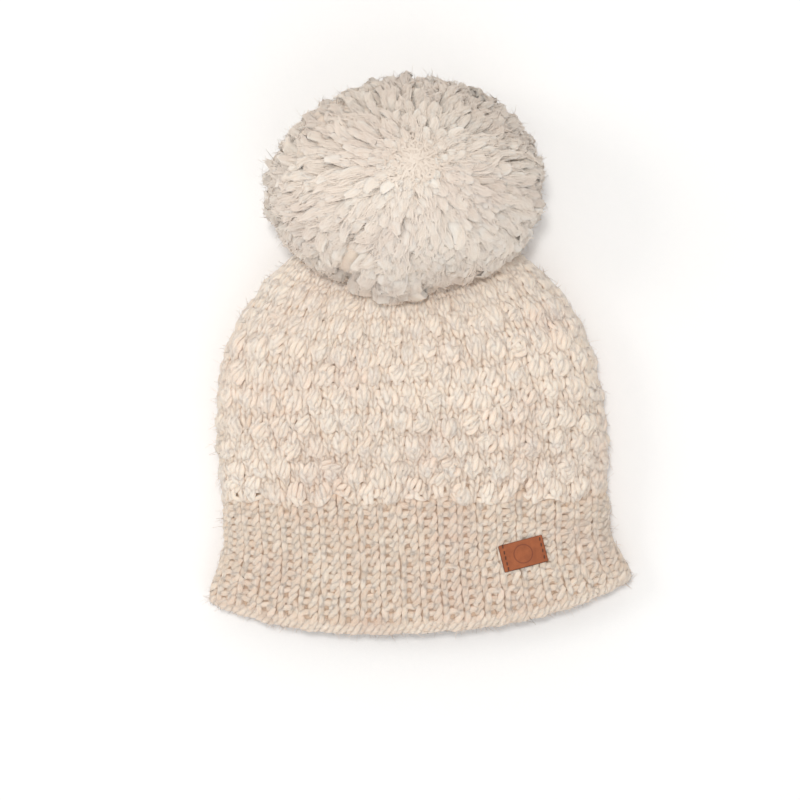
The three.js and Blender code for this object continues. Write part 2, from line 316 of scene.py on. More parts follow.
def tube_faces(number, ends):
    """The faces of tubes whose vertices are numbered by strand, step and side."""
    after = np.roll(number, -1, axis=2)
    walls = np.stack([number[:, :-1], number[:, 1:], after[:, 1:], after[:, :-1]], axis=-1)
    faces = [walls.reshape(-1, 4)]
    sides = number.shape[2]
    rims = [(number[:, 0], 1), (number[:, -1], -1)] if ends else []
    for rim, turn in rims:
        for k in range(1, sides - 1, 2):
            last = rim[:, k + 2] if k + 2 < sides else rim[:, 0]
            cap = np.stack([rim[:, 0], rim[:, k], rim[:, k + 1], last], axis=-1)
            faces.append(cap[:, ::turn])
    return np.concatenate(faces)


print("faces of one step of a five-sided tube:", len(tube_faces(np.arange(10).reshape(1, 2, 5), True)))

# %% [markdown]
# ## Round yarn
# Blender's curve objects could sweep a tube along a path, but they would be slow for thousands of
# strands, and each vertex is to know where it is on the yarn. So the tubes are made as arrays. Every
# vertex carries three things for the finish: its place on the yarn, for fibres that run along it, how
# deep it lies in the fabric, for the warm shade that is painted between stitches, and the tone of its
# own strand, which carries painted shade and light as well.
# Light goes some way through loose fibres, so wool is shaded as if its strands were less round than
# they are: the direction that a vertex faces is drawn towards that of the whole fabric.

# %% Strands of yarn


class Strands:
    """Collects tubes as arrays, all in one mesh."""

    def __init__(self):
        self.vertices, self.faces = [], []
        self.fibre, self.deep, self.tint = [], [], []
        self.outward, self.along, self.facing = [], [], []
        self.count = 0

    def add(self, paths, normals, radii, heights, sides=5, flat=1.0, twist=0.35, seed=0,
            deepest=-2.0, highest=2.0, ends=True, tint=None, soft=0.35):
        """Sweeps a ring of vertices along each path, and notes what the finish needs to know."""
        chance = np.random.default_rng(seed)
        strands, samples = paths.shape[:2]
        radii = np.broadcast_to(radii, (strands, samples))
        heights = np.broadcast_to(heights, (strands, samples))
        tangents, up = held(paths, normals, flat, ends)
        across = np.cross(tangents, up)
        angle = np.arange(sides) * 2 * math.pi / sides
        ring = (across[:, :, None] * np.cos(angle)[None, None, :, None]
                + up[:, :, None] * (flat * np.sin(angle))[None, None, :, None])
        vertices = paths[:, :, None] + ring * radii[:, :, None, None]
        steps = np.linalg.norm(np.diff(paths, axis=1), axis=-1)
        length = np.concatenate([np.zeros((strands, 1)), np.cumsum(steps, axis=1)], axis=1)
        turned = angle[None, None, :] + twist * length[:, :, None]
        shift = chance.uniform(-50, 50, (strands, 1, 1))
        fibre = np.stack([
            np.cos(turned) + shift,
            np.sin(turned) + shift * 0.37,
            np.broadcast_to(length[:, :, None] + shift, turned.shape),
        ], axis=-1)
        lift = heights[:, :, None] + np.sum(ring * normals[:, :, None], -1) * radii[:, :, None]
        # How deep a vertex lies in the fabric; the finish paints deep places in a warm, darker shade.
        deep = np.clip((highest - lift) / (highest - deepest), 0, 1)
        # A strand's own tone; some of the knitting adds painted shade and light to it.
        if tint is None:
            tint = chance.uniform(0, 1, strands)
        tint = np.broadcast_to(np.reshape(tint, (strands, -1, 1)), deep.shape)
        number = self.count + np.arange(strands * samples * sides).reshape(strands, samples, sides)
        self.faces.append(tube_faces(number, ends))
        self.vertices.append(vertices.reshape(-1, 3))
        self.fibre.append(fibre.reshape(-1, 3))
        self.deep.append(deep.reshape(-1))
        self.tint.append(tint.reshape(-1))
        self.outward.append(unit(ring).reshape(-1, 3))
        self.along.append(np.broadcast_to(tangents[:, :, None], ring.shape).reshape(-1, 3))
        self.facing.append(unit(lerp(unit(ring), normals[:, :, None], soft)).reshape(-1, 3))
        self.count += strands * samples * sides

    def joined(self, name):
        return np.concatenate(getattr(self, name))


# %% [markdown]
# ## From arrays to objects
# Blender takes whole arrays of vertices and faces at once, which is far faster than adding them one
# by one. A triangle is given here as a four-cornered face whose last corner is its first one again, and
# is cut back to three corners. Each piece rides on the hat's one body.

# %% Making a mesh
OFF_TABLE = 0.1
MILLIMETRE = 0.001


def ring_walls(number):
    """Faces between the rows of a grid of vertex numbers, which closes round on itself."""
    after = np.roll(number, -1, axis=1)
    return np.stack([number[:-1], number[1:], after[1:], after[:-1]], axis=-1).reshape(-1, 4)


def make_piece(name, vertices, faces, attributes, slot, facing=None):
    mesh = bpy.data.meshes.new(name)
    faces = np.asarray(faces).reshape(-1, 4)
    vertices = np.array(vertices).reshape(-1, 3)
    vertices[:, 2] = np.maximum(vertices[:, 2], OFF_TABLE)
    corners = np.ones(faces.shape, dtype=bool)
    corners[:, 3] = faces[:, 3] != faces[:, 0]
    sizes = corners.sum(axis=1)
    mesh.vertices.add(len(vertices))
    mesh.vertices.foreach_set("co", (vertices * MILLIMETRE).astype(np.float32).ravel())
    mesh.loops.add(int(sizes.sum()))
    mesh.loops.foreach_set("vertex_index", faces[corners].astype(np.int32))
    mesh.polygons.add(len(faces))
    mesh.polygons.foreach_set("loop_start", np.append(0, np.cumsum(sizes)[:-1]).astype(np.int32))
    mesh.polygons.foreach_set("use_smooth", np.full(len(faces), True))
    mesh.update(calc_edges=True)
    for key, values in attributes.items():
        values = np.asarray(values, dtype=np.float32)
        kind, field = ("FLOAT_VECTOR", "vector") if values.ndim == 2 else ("FLOAT", "value")
        mesh.attributes.new(key, kind, "POINT").data.foreach_set(field, values.ravel())
    if facing is not None:
        mesh.normals_split_custom_set_from_vertices(facing)
    piece = bpy.data.objects.new(name, mesh)
    bpy.context.scene.collection.objects.link(piece)
    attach(piece, "root")
    print(name, int((sizes - 2).sum()), "triangles")
    return piece


def piece_of(strands, name, slot):
    attributes = {key: strands.joined(key) for key in ("fibre", "deep", "tint")}
    return make_piece(name, strands.joined("vertices"), strands.joined("faces"), attributes, slot,
                      facing=strands.joined("facing"))


# %% [markdown]
# ## Where the crown begins
# The knitter changes from ribbing to the crown's pattern in one row, but the berries pull some
# columns up and let others hang. So the line between the two is wavy. It is given once, and both the
# last rows of the ribbing and the first rows of the crown follow it.

# %% The wavy border
BORDER_RISE = 0.055


def border_wave(u):
    return 0.5 + 0.3 * np.sin(u * 2 * math.pi * 9 + 1) + 0.25 * np.sin(u * 2 * math.pi * 23 + 2)


def border(u, v):
    """The crown begins a little higher in some places than in others."""
    return v + BORDER_RISE * border_wave(u) * (1 - soft_step(v, 0, 0.2))


print("the border is up to", round(BORDER_RISE * 1.05 * CROWN_HEIGHT, 1), "mm higher in places")

# %% [markdown]
# ## The ribbed band
# The band is one by one rib: columns of plain stitches stand out, and the columns between them are
# the same stitches seen from behind, which sink in. The yarn of one row therefore makes a loop on
# the front layer, goes through the wall, and makes a loop on its other side. One such pair of loops
# is drawn once, with x in stitches, y in rows, and z from the outside, 1, to the inside, -1. The
# stitches lean, so that the left leg of every plain stitch stands upright and these legs join into a
# smooth rib, while the right legs are slanting strokes, with a column of small holes between them.

# %% The loop of the rib
RIB_STITCHES = 42
RIB_ROWS = 15
RIB_YARN = 1.92
RIB_STEPS = 26

outside_loop = np.array([
    [-0.35, -0.12, 0.40],
    [-0.30, 0.12, 0.85],
    [-0.29, 0.60, 1.08],
    [-0.30, 1.02, 1.00],
    [-0.25, 1.28, 0.88],
    [-0.10, 1.43, 0.80],
    [0.10, 1.46, 0.78],
    [0.34, 1.38, 0.80],
    [0.43, 1.12, 0.95],
    [0.33, 0.62, 1.10],
    [0.17, 0.15, 0.90],
    [0.16, -0.12, 0.40],
])
inside_loop = outside_loop * [0.55, 1, -1] + [0.66, 0, 0]
rib_loop = np.concatenate([outside_loop, inside_loop])
print("points in one pair of loops:", len(rib_loop))

# %% [markdown]
# The rows of loops go round the whole hat, each one hung on the row below it. Hand knitting is
# never quite even, so every loop is moved a little at random, always in the same way on each run.

# %% Knit the rib
chance = np.random.default_rng(3)
shape = (RIB_ROWS, RIB_STITCHES, len(rib_loop), 3)
loops = np.broadcast_to(rib_loop, shape) + chance.normal(0, [0.022, 0.06, 0.08], shape)
loops = loops + chance.normal(0, [0.03, 0.07, 0.09], (RIB_ROWS, RIB_STITCHES, 1, 3))
loops[..., 0] += np.arange(RIB_STITCHES)[None, :, None]
controls = loops.reshape(RIB_ROWS, -1, 3)
# The last loop hangs on the first one, one turn further on.
samples = RIB_STITCHES * RIB_STEPS + 1
wrapped = np.concatenate([controls, controls[:, :1] + [RIB_STITCHES, 0, 0]], axis=1)
before = np.concatenate([controls[:, -1:] - [RIB_STITCHES, 0, 0], wrapped], axis=1)
path = smooth_paths(before, samples)
print("the yarn of the rib has", len(path), "rows of", samples, "points")

# %% [markdown]
# Now the flat rows are set on the band. The rows that go past its upper edge lie on the beginning of
# the crown, and they dive under the crown's own stitches along the wavy border.

# %% Set the rib on the hat
HEM_EDGE = 0.06
ROWS_ON_BAND = 13.2
RIB_PITCH = (1 - HEM_EDGE) / ROWS_ON_BAND
RIB_MIDDLE = -2.5
RIB_SWING = 2.3
# A share of the band's height, told as a share of the crown's.
BAND_TO_CROWN = 0.36
TUCKED_UNDER = 4.5
u = -path[..., 0] / RIB_STITCHES
row = np.arange(RIB_ROWS)[:, None]
v = HEM_EDGE + (path[..., 1] + row) * RIB_PITCH
h = RIB_MIDDLE + RIB_SWING * path[..., 2]
points, normals = band.place(u, np.minimum(v, 1), h)
past = np.maximum(v - 1, 0) * BAND_TO_CROWN
under = soft_step(past - BORDER_RISE * border_wave(u), -0.03, 0.02) * soft_step(v, 0.97, 1.03)
h = h - TUCKED_UNDER * under
higher, higher_normals = crown.place(u, past, h)
points = np.where((v > 1)[..., None], higher, points)
normals = np.where((v > 1)[..., None], higher_normals, normals)
thick = RIB_YARN * (1 + 0.1 * np.sin(path[..., 0] * 2.3 + row * 1.7))
# Random patches of tone, on a band painted darker overall, as painted shade where it slopes away from the
# light.
patches_and_shade = 1.2 + 0.3 * np.sin(path[..., 0] * 0.71 + row * 2.4)
# Painted shade: the strands that sink in are painted a little darker.
patches_and_shade = patches_and_shade + 0.35 * (0.3 - path[..., 2])
rib = Strands()
rib.add(points, normals, thick, h, seed=4, deepest=-2.7, highest=1.0, ends=False, tint=patches_and_shade)
rib_knit = piece_of(rib, "rib_knit", "band_wool")
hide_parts("ribbed_band")

# %% [markdown]
# ## The rolled hem
# The lower edge is where the knitting was cast on. There the yarn doubles up into a thick roll, a
# little lumpy where the columns of the rib begin. Three strands that twist round each other along
# the edge give it.

# %% Roll the hem
HEM_YARN = 2.3
HEM_PLIES = 3
HEM_TWISTS = 46
HEM_ALONG = 0.052
HEM_OVER = -1.9
across = np.linspace(0, 1, 481)[None, :]
wave = across * 2 * math.pi
ply = wave * HEM_TWISTS + np.arange(HEM_PLIES)[:, None] * 2 * math.pi / HEM_PLIES
lumps = 1 + 0.06 * np.sin(wave * 38) + 0.05 * np.sin(wave * 61 + 2) + 0.04 * np.sin(wave * 17)
v = HEM_ALONG + 0.004 * np.sin(wave * 41 + 1) + 0.004 * np.sin(wave * 23) + 0.022 * np.cos(ply)
h = HEM_OVER + 0.25 * np.sin(wave * 53) + 1.2 * np.sin(ply)
points, normals = band.place(across + 0 * ply, v, h)
hem = Strands()
hem.add(points, normals, HEM_YARN * lumps, h, sides=8, seed=7, twist=0.2, deepest=-6, highest=0.5,
        ends=False, tint=np.full(HEM_PLIES, 0.6), soft=0.5)
hem_roll = piece_of(hem, "hem_roll", "band_wool")

# %% [markdown]
# ## Where the berries stand
# The crown is plain knitting, letters V in columns, with rows of round bumps like berries. For one
# bump, several stitches are worked into one and drawn together again, so the fabric swells there.
# Each row of berries is set half a berry aside. Every one is moved, turned and sized a little
# differently. They get flatter at the folds and towards the pompom, where plain stitches take over.

# %% Places of the berries
BERRY_ROWS = 10
FULL_ROWS = 13
BERRIES = 36
BERRY_WIDE = 13.3
BERRY_TALL = 13.1
BERRY_REACH = (4.6, 4.4)
# The crown, measured in berries: how far it is round and how tall it is, in millimetres.
CROWN_ROUND = BERRIES * BERRY_WIDE
CROWN_TALL = FULL_ROWS * BERRY_TALL
chance = np.random.default_rng(11)
row, column = np.meshgrid(np.arange(BERRY_ROWS), np.arange(BERRIES), indexing="ij")
berry_v = (row + 0.55) / FULL_ROWS + 0.011 * np.sin(column * 0.9 + row * 1.3)
berry_v = berry_v + chance.normal(0, 0.006, row.shape)
berry_u = (column + (row % 2) / 2 + chance.normal(0, 0.07, row.shape)) / BERRIES
berry_full = (1 - 0.55 * soft_step(berry_v, 0.55, 0.80)) * chance.normal(1, 0.14, row.shape)
berry_turn = chance.normal(-0.1, 0.28, row.shape)
from_fold = np.abs((berry_u + 0.25) % 0.5 - 0.25)
berry_full = berry_full * (1.08 - 0.6 * np.exp(-(from_fold / 0.035) ** 2))
berry_tint = np.clip(chance.normal(0.1, 0.12, row.shape), 0, 1)
print("berries:", berry_u.size)

# %% [markdown]
# A stitch asks how far it lies on a berry, so that it can rise with it. The berries overlap a little
# at their feet, and there the nearest one counts, which keeps a groove between them.

# %% The swelling of a berry


def swelling(u, v):
    """How far a place lies on a berry, 0 to 1, and its way from the berry's middle in millimetres."""
    full = np.zeros(u.shape)
    away_a, away_b = np.zeros(u.shape), np.zeros(u.shape)
    for up in (-1, 0, 1):
        r = np.clip(np.floor(v * FULL_ROWS) + up, 0, BERRY_ROWS - 1).astype(int)
        for aside in (-1, 0, 1):
            c = (np.round(u * BERRIES - (r % 2) / 2) + aside).astype(int) % BERRIES
            turn = u - berry_u[r, c]
            a = (turn - np.round(turn)) * BERRIES * BERRY_WIDE
            b = (v - berry_v[r, c]) * FULL_ROWS * BERRY_TALL
            near = np.exp(-((a / BERRY_REACH[0]) ** 2 + (b / BERRY_REACH[1]) ** 2))
            here = near * berry_full[r, c]
            better = here > full
            full = np.where(better, here, full)
            away_a, away_b = np.where(better, a, away_a), np.where(better, b, away_b)
    return full, away_a, away_b


print("on the first berry:", round(float(swelling(berry_u[:1, 0], berry_v[:1, 0])[0][0]), 2))

# %% [markdown]
# ## The knitting of the crown
# One plain loop is drawn once, with x in stitches, y in rows and z as a height in millimetres. Rows
# of it go round the hat. Where a berry stands, the loops are lifted and spread, so their strands look
# fatter there. Higher up the knitter decreases, so there are fewer columns.

# %% Knit the crown
CROWN_YARN = 1.66
CROWN_SINK = 1.9
CROWN_ROW = 4.5
CROWN_STEPS = 12
BERRY_LIFT = 3.5
BERRY_SPREAD = 0.22
plain_loop = np.array([
    [-0.50, -0.05, -1.2], [-0.14, 0.00, -0.7], [-0.13, 0.45, 0.25], [-0.29, 1.00, 0.45],
    [-0.28, 1.38, -0.3], [0.0, 1.55, -1.0], [0.28, 1.38, -0.3], [0.29, 1.00, 0.45],
    [0.13, 0.45, 0.25], [0.14, 0.00, -0.7],
])


def knit_plain(stitches, rows, low, high, first, last, seed):
    """Rows first to last of a stretch of plain knitting between two shares of the crown."""
    chance = np.random.default_rng(seed)
    loops = plain_loop + chance.normal(0, [0.03, 0.07, 0.15], (rows, stitches, len(plain_loop), 3))
    loops = loops + chance.normal(0, [0.05, 0.12, 0.25], (rows, stitches, 1, 3))
    loops[..., 0] += np.arange(stitches)[None, :, None]
    controls = loops.reshape(rows, -1, 3)[first:last]
    controls = np.concatenate([controls, controls[:, :2] + [stitches, 0, 0]], axis=1)
    path = smooth_paths(controls, stitches * CROWN_STEPS + 1)
    number = np.arange(first, last)[:, None]
    u = path[..., 0] / stitches
    v = border(u, low + (path[..., 1] + number) * (high - low) / rows)
    full, a, b = swelling(u, v)
    spread = BERRY_SPREAD * full
    u = u + a * spread / CROWN_ROUND
    v = v + b * spread / CROWN_TALL
    h = path[..., 2] - 0.3 + BERRY_LIFT * full - CROWN_SINK
    points, normals = crown.place(u, np.clip(v, 0, 1), h)
    thick = CROWN_YARN * (1 + 0.12 * full) * (1 + 0.06 * np.sin(path[..., 0] * 3.1 + number * 2.2))
    # Random patches of tone, and painted light that makes the crown lighter towards the pompom.
    patches_and_shade = 0.3 + 0.3 * np.sin(path[..., 0] * 0.9 + number * 2.9) * (1 - full) - 0.7 * v
    # Painted shade: between the berries the wool is painted a little darker than on them.
    patches_and_shade = patches_and_shade + 0.7 * (0.3 - full)
    strands = Strands()
    strands.add(points, normals, thick, h + CROWN_SINK, sides=4, seed=seed + 1, deepest=-3.1, highest=3.0,
                ends=False, tint=patches_and_shade)
    return strands


print("points in one plain loop:", len(plain_loop))

# %% [markdown]
# The crown is knitted in three stretches, with fewer stitches in each, as a knitter decreases them.
# The first stretch is the largest and is made in two pieces, so that no piece has too many faces.

# %% The rows of the crown
CROWN_STITCHES, NECK_STITCHES, TIP_STITCHES = 72, 48, 24
MAIN_TOP, NECK_TOP, TIP_TOP = 0.74, 0.88, 0.985
NECK_ROWS, TIP_ROWS = 5, 4
tall = float(crown.sample(crown.tall, np.array([0.25]), np.array([0.3]))[0, 0])
main_rows = round(MAIN_TOP * tall / CROWN_ROW)
half_way = main_rows // 2
crown_knit = {
    "crown_lower": knit_plain(CROWN_STITCHES, main_rows, 0.0, MAIN_TOP, 0, half_way, 51),
    "crown_upper": knit_plain(CROWN_STITCHES, main_rows, 0.0, MAIN_TOP, half_way, main_rows, 51),
    "crown_neck": knit_plain(NECK_STITCHES, NECK_ROWS, MAIN_TOP, NECK_TOP, 0, NECK_ROWS, 53),
    "crown_tip": knit_plain(TIP_STITCHES, TIP_ROWS, NECK_TOP, TIP_TOP, 0, TIP_ROWS, 55),
}
print("rows of the crown:", main_rows + NECK_ROWS + TIP_ROWS)
crown_pieces = [piece_of(strands, name, "crown_wool") for name, strands in crown_knit.items()]
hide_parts("crown")

# %% [markdown]
# ## The strands of a berry
# Seen close, a berry is four fat short strands that lean to the right, side by side over the
# swelling, like a few grains of rice. The last one hugs the lower right edge. They are drawn flat in
# millimetres, with their height last, and set on each berry. Their ends dive into the fabric.

# %% Close the berries
BERRY_YARN = 1.55
GRAINS = np.array([
    [(-3.6, -2.8, -1.4), (-3.5, -0.9, 0.9), (-2.5, 1.3, 1.4), (-1.2, 3.8, -1.2)],
    [(-2.0, -4.1, -1.2), (-1.5, -1.9, 1.7), (-0.1, 1.0, 2.3), (1.1, 4.0, -0.8)],
    [(0.0, -4.6, -1.0), (1.0, -2.3, 1.8), (1.9, 0.6, 2.2), (2.5, 3.8, -1.0)],
    [(1.2, -4.8, -1.4), (3.3, -3.3, 0.9), (4.2, -0.3, 1.3), (3.6, 3.2, -1.4)],
])


def knit_berries(shape, samples, seed):
    """Sets a group of flat strands at every berry's place and lays them on the crown."""
    chance = np.random.default_rng(seed)
    count = berry_u.size
    flat = np.broadcast_to(shape, (count,) + shape.shape).copy()
    flat += chance.normal(0, [0.35, 0.35, 0.2], flat.shape)
    flat += chance.normal(0, [0.45, 0.9, 0.35], (count, len(shape), 1, 3))
    cos, sin = (f(berry_turn).reshape(-1, 1, 1) for f in (np.cos, np.sin))
    a, b = flat[..., 0] * cos - flat[..., 1] * sin, flat[..., 0] * sin + flat[..., 1] * cos
    u = berry_u.reshape(-1, 1, 1) - a / CROWN_ROUND
    v = border(u, berry_v.reshape(-1, 1, 1) + b / CROWN_TALL)
    h = -2.2 + (flat[..., 2] + 3.7) * np.clip(berry_full, 0, 1.1).reshape(-1, 1, 1) - CROWN_SINK
    controls = np.stack([u, v, h], axis=-1).reshape(-1, shape.shape[1], 3)
    path = smooth_paths(controls, samples)
    points, normals = crown.place(path[..., 0], np.clip(path[..., 1], 0, 1), path[..., 2])
    share = np.abs(np.linspace(-1, 1, samples))
    thick = BERRY_YARN * (1.05 - 0.35 * share ** 3) * chance.normal(1, 0.08, (len(points), 1))
    strands = Strands()
    strands.add(points, normals, thick, path[..., 2] + CROWN_SINK, seed=seed + 1, deepest=-3.2,
                highest=3.0, tint=np.repeat(berry_tint.ravel(), len(shape)))
    return strands


grains = knit_berries(GRAINS, 6, 12)
berry_grains = piece_of(grains, "berry_grains", "crown_wool")

# %% [markdown]
# ## The body of the fabric
# Thick wool felts a little, and no light comes through it. A soft sheet inside the wall, just under
# the strands, stands for those matted fibres. Its inner side carries the bumps of the wrong side of
# the knitting, which is seen when one looks into the hat. The sheet is painted darker and warmer than
# the strands, as painted shade in the holes between the stitches and inside the hat.

# %% Lay the body of the fabric
# Painted shade of the sheet's outer and inner sides.
OUTER_SHADE, INNER_SHADE = 0.65, 0.4


def sheet(fabric, low, high, rows, columns, inner, outer):
    """A closed wall between two heights, each given as a function of u and v."""
    u = np.broadcast_to(np.arange(columns) / columns, (rows, columns))
    v = np.broadcast_to(np.linspace(low, high, rows)[:, None], (rows, columns))
    outside, _ = fabric.place(u, v, outer(u, v))
    inside, _ = fabric.place(u, v, inner(u, v))
    vertices = np.concatenate([outside, inside[::-1]])
    number = np.arange(2 * rows * columns).reshape(2 * rows, columns)
    faces = ring_walls(np.concatenate([number, number[:1]]))
    place = np.concatenate([np.stack([u * 60, v * 30, outer(u, v)], -1),
                            np.stack([u * 60, v * 30, inner(u, v) + 9], -1)[::-1]])
    deep = np.repeat([OUTER_SHADE, INNER_SHADE], rows * columns)
    return vertices, faces, {"fibre": place.reshape(-1, 3), "deep": deep, "tint": deep}


def purl_bumps(u, v):
    wave = np.sin(u * 2 * math.pi * 72) * np.sin(v * 2 * math.pi * 15 + np.cos(u * 452) * 0.8)
    return -WALL + 0.3 - 0.7 * np.abs(wave)


def uneven(u, v):
    return -2.7 + 0.25 * np.sin(u * 452) * np.sin(v * 160)


band_sheet = sheet(band, 0.04, 1.0, 14, 160, lambda u, v: -2.6 + 0 * u, lambda u, v: -1.6 + 0 * u)
crown_sheet = sheet(crown, 0.0, 0.995, 46, 180, purl_bumps, uneven)
band_body = make_piece("band_body", *band_sheet, "band_wool")
crown_body = make_piece("crown_body", *crown_sheet, "crown_wool")

# %% [markdown]
# ## The pompom
# The pompom is made of thick, loose wool that was wound, tied in the middle and cut. Its cut ends
# are fat soft locks, and they lie outward from the place on top where they part, each over the next
# like petals. Every lock is laid here from its root inside the ball to its blunt end. Locks that
# would go into the crown are pushed out of it, and those at the bottom are flattened by the table.

# %% Directions of the locks
LOCKS = 1550
PARTING_AT = [7.5, 8.3]
parting = np.append(PARTING_AT / POMPOM_SIZE[:2], 0)
parting[2] = math.sqrt(1 - parting[0] ** 2 - parting[1] ** 2)
side_way = unit(np.cross([0, 1, 0], parting))
up_way = np.cross(parting, side_way)
chance = np.random.default_rng(23)
number = np.arange(LOCKS)
# Turning by the golden angle from each lock to the next spreads the ends evenly over the ball.
lean_end = np.arccos(1 - 2 * (number + 0.5) / LOCKS)
turn_end = number * math.pi * (3 - math.sqrt(5)) + chance.normal(0, 0.05, LOCKS)
reach = np.clip(chance.normal(0.96, 0.013, LOCKS), 0.92, 0.985)
reach -= 0.05 * (1 - soft_step(lean_end, 0.05, 0.4))
down = np.cos(turn_end) * side_way[1] + np.sin(turn_end) * up_way[1]
hanging = np.exp(-((1 + down) / 0.05) ** 2) * soft_step(lean_end, 0.9, 1.4)
reach += 0.05 * hanging
# The ball is a little flatter at its upper left.
end_way = np.sin(lean_end) * np.array([np.cos(turn_end), np.sin(turn_end)])
end_x = end_way[0] * side_way[0] + end_way[1] * up_way[0] + np.cos(lean_end) * parting[0]
end_y = end_way[0] * side_way[1] + end_way[1] * up_way[1] + np.cos(lean_end) * parting[1]
reach -= 0.035 * soft_step(-2 * end_x * end_y, 0.1, 0.8) * (end_y > 0)
# Its lower edge is uneven: one tuft hangs low, and beside it the locks are shorter.
EDGE_ANGLES = [-48, -37, -28, -21, -3, 3, 9, 18, 28, 40, 60, 80]
EDGE_CHANGES = [0, -0.03, -0.13, 0.03, 0.0, -0.10, -0.09, -0.06, 0, 0.035, 0.035, 0]
from_below = np.degrees(np.arctan2(end_x, -end_y))
reach += np.interp(from_below, EDGE_ANGLES, EDGE_CHANGES) * soft_step(lean_end, 0.8, 1.2)
print("locks:", LOCKS, "parting at", np.round(parting * POMPOM_SIZE + POMPOM_PLACE, 1).tolist())

# %% [markdown]
# A lock's path starts in the ball and turns to run along its surface. Those on the side of the hem
# sweep further round it, because the pompom leans on the crown there and the knitting bends them.

# %% Paths of the locks
LOCK_STEPS = 8
LOCK_ROOT = 0.55
share = np.linspace(0, 1, LOCK_STEPS)[None, :]
lower = 0.5 - 0.5 * np.sin(lean_end) * down
sweep = (0.34 + 0.22 * lower ** 2 + chance.normal(0, 0.06, LOCKS))[:, None]
lean = lean_end[:, None] - np.minimum(sweep, lean_end[:, None] * 0.8) * (1 - share) ** 1.1
turn = turn_end[:, None] + chance.normal(0, 0.10, (LOCKS, 1)) * share * share
depth = lerp(LOCK_ROOT, reach[:, None], 1 - (1 - share) ** 2.6)
wobble = chance.normal(0, 0.012, (LOCKS, LOCK_STEPS))
ball = (np.cos(lean)[..., None] * parting + np.sin(lean)[..., None] * (
    np.cos(turn)[..., None] * side_way + np.sin(turn)[..., None] * up_way))
points = POMPOM_PLACE + ball * (depth + wobble)[..., None] * POMPOM_SIZE
normals = unit(ball / POMPOM_SIZE)
print("length of a lock:", round(float(np.linalg.norm(np.diff(points, axis=1), axis=-1).sum(1).mean()), 1))

# %% [markdown]
# The pompom is sewn down on the crown, so its lowest locks would go into the knitting. The tree of
# points of the crown's surface tells how close a lock is to the knitting under it, and a lock that is
# too close is pushed out along the direction that the knitting faces there.

# %% Keep the locks off the crown
OFF_CROWN = 6.5
PRESS_BACK = 0.9
skin, skin_normals = crown.points[::2, ::4].reshape(-1, 3), crown.normals[::2, ::4].reshape(-1, 3)
tree = kdtree.KDTree(len(skin))
for index, point in enumerate(skin):
    tree.insert(point, index)
tree.balance()
flat_points = points.reshape(-1, 3).copy()
past_crown = HEM_LINE + BAND_HEIGHT + CROWN_HEIGHT + 6
for index, point in enumerate(flat_points):
    if point[1] < past_crown:
        _, nearest, _ = tree.find(point)
        over = float(np.dot(point - skin[nearest], skin_normals[nearest]))
        if over < OFF_CROWN:
            flat_points[index] += skin_normals[nearest] * (OFF_CROWN - over) * PRESS_BACK
moved = int(np.any(flat_points != points.reshape(-1, 3), axis=-1).sum())
points = flat_points.reshape(points.shape)
print("points of the locks pushed off the crown:", moved)

# %% [markdown]
# The section of a lock is flat, its thickness uneven, and its end blunt. The locks get fatter towards
# the hem, and are painted darkest round the parting and lighter towards the hem, as painted shade and
# light.

# %% Lay the locks
LOCK_THICK = 2.5
profile = np.array([0.66, 0.80, 0.92, 1.0, 1.02, 0.98, 0.84, 0.45])
lumpy = profile * (1 + chance.normal(0, 0.06, (LOCKS, LOCK_STEPS)))
width = (chance.normal(LOCK_THICK, 0.35, LOCKS) + 2.2 * lower ** 2 + 0.6 * hanging)[:, None] * lumpy
# On the side away from the parting the locks are fatter, and close the ball.
width *= 1 + 0.5 * soft_step(lean_end, 1.3, 2.1)[:, None]
# Each lock has a tone of its own, with painted shade round the parting and painted light towards the hem.
lock_tone_and_shade = np.clip(chance.normal(1.0, 0.07, LOCKS) - 0.85 * lower, 0, 1)
locks = Strands()
locks.add(soft_floor(points, 3.0), normals, width, (depth - 1) * 60, flat=0.5, twist=0.03, seed=24,
          deepest=-22, highest=0, tint=lock_tone_and_shade, soft=0.78)
pompom_locks = piece_of(locks, "pompom_locks", "pompom_wool")
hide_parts("pompom")

# %% [markdown]
# Behind the locks lies the wound middle of the pompom. It is a lumpy ball, smaller than the locks
# reach, so that no light falls through between them.

# %% The middle of the pompom
rows, columns = 40, 64
lean = np.linspace(0.02, math.pi - 0.02, rows)[:, None]
turn = np.arange(columns)[None, :] * 2 * math.pi / columns
way = np.stack([np.sin(lean) * np.cos(turn), np.sin(lean) * np.sin(turn),
                np.cos(lean) + 0 * turn], axis=-1)
toward = way @ parting
lump = 0.89 + 0.03 * np.exp(-((toward - 0.3) / 0.25) ** 2) - 0.045 * soft_step(-toward, -0.1, 0.4)
lump = lump + 0.01 * np.sin(turn * 9 + lean * 5) * np.sin(lean * 11)
vertices = POMPOM_PLACE + way * lump[..., None] * POMPOM_SIZE
vertices[..., 2] = np.maximum(vertices[..., 2], 1.0)
number = np.arange(rows * columns).reshape(rows, columns)
lids = []
for rim in (number[0], number[-1, ::-1]):
    lids.extend([rim[0], rim[k], rim[k + 1], rim[0]] for k in range(1, columns - 1))
faces = np.concatenate([ring_walls(number), lids])
# Painted shade: the ball behind the locks is painted half-way to the warm shade of deep places.
half_shade = np.full(rows * columns, 0.5)
attributes = {"fibre": vertices.reshape(-1, 3) * 0.2, "deep": half_shade, "tint": half_shade}
pompom_middle = make_piece("pompom_middle", vertices, faces, attributes, "pompom_wool")

# %% [markdown]
# ## Ribbons
# A tube would be wasted on a wisp or on a single fibre, which is a millimetre wide or less. A ribbon
# of cloth-thin wool does as well there, with two triangles a step where a tube has ten. It is shaded
# in a direction that is given, as the tubes are.

# %% Ribbons


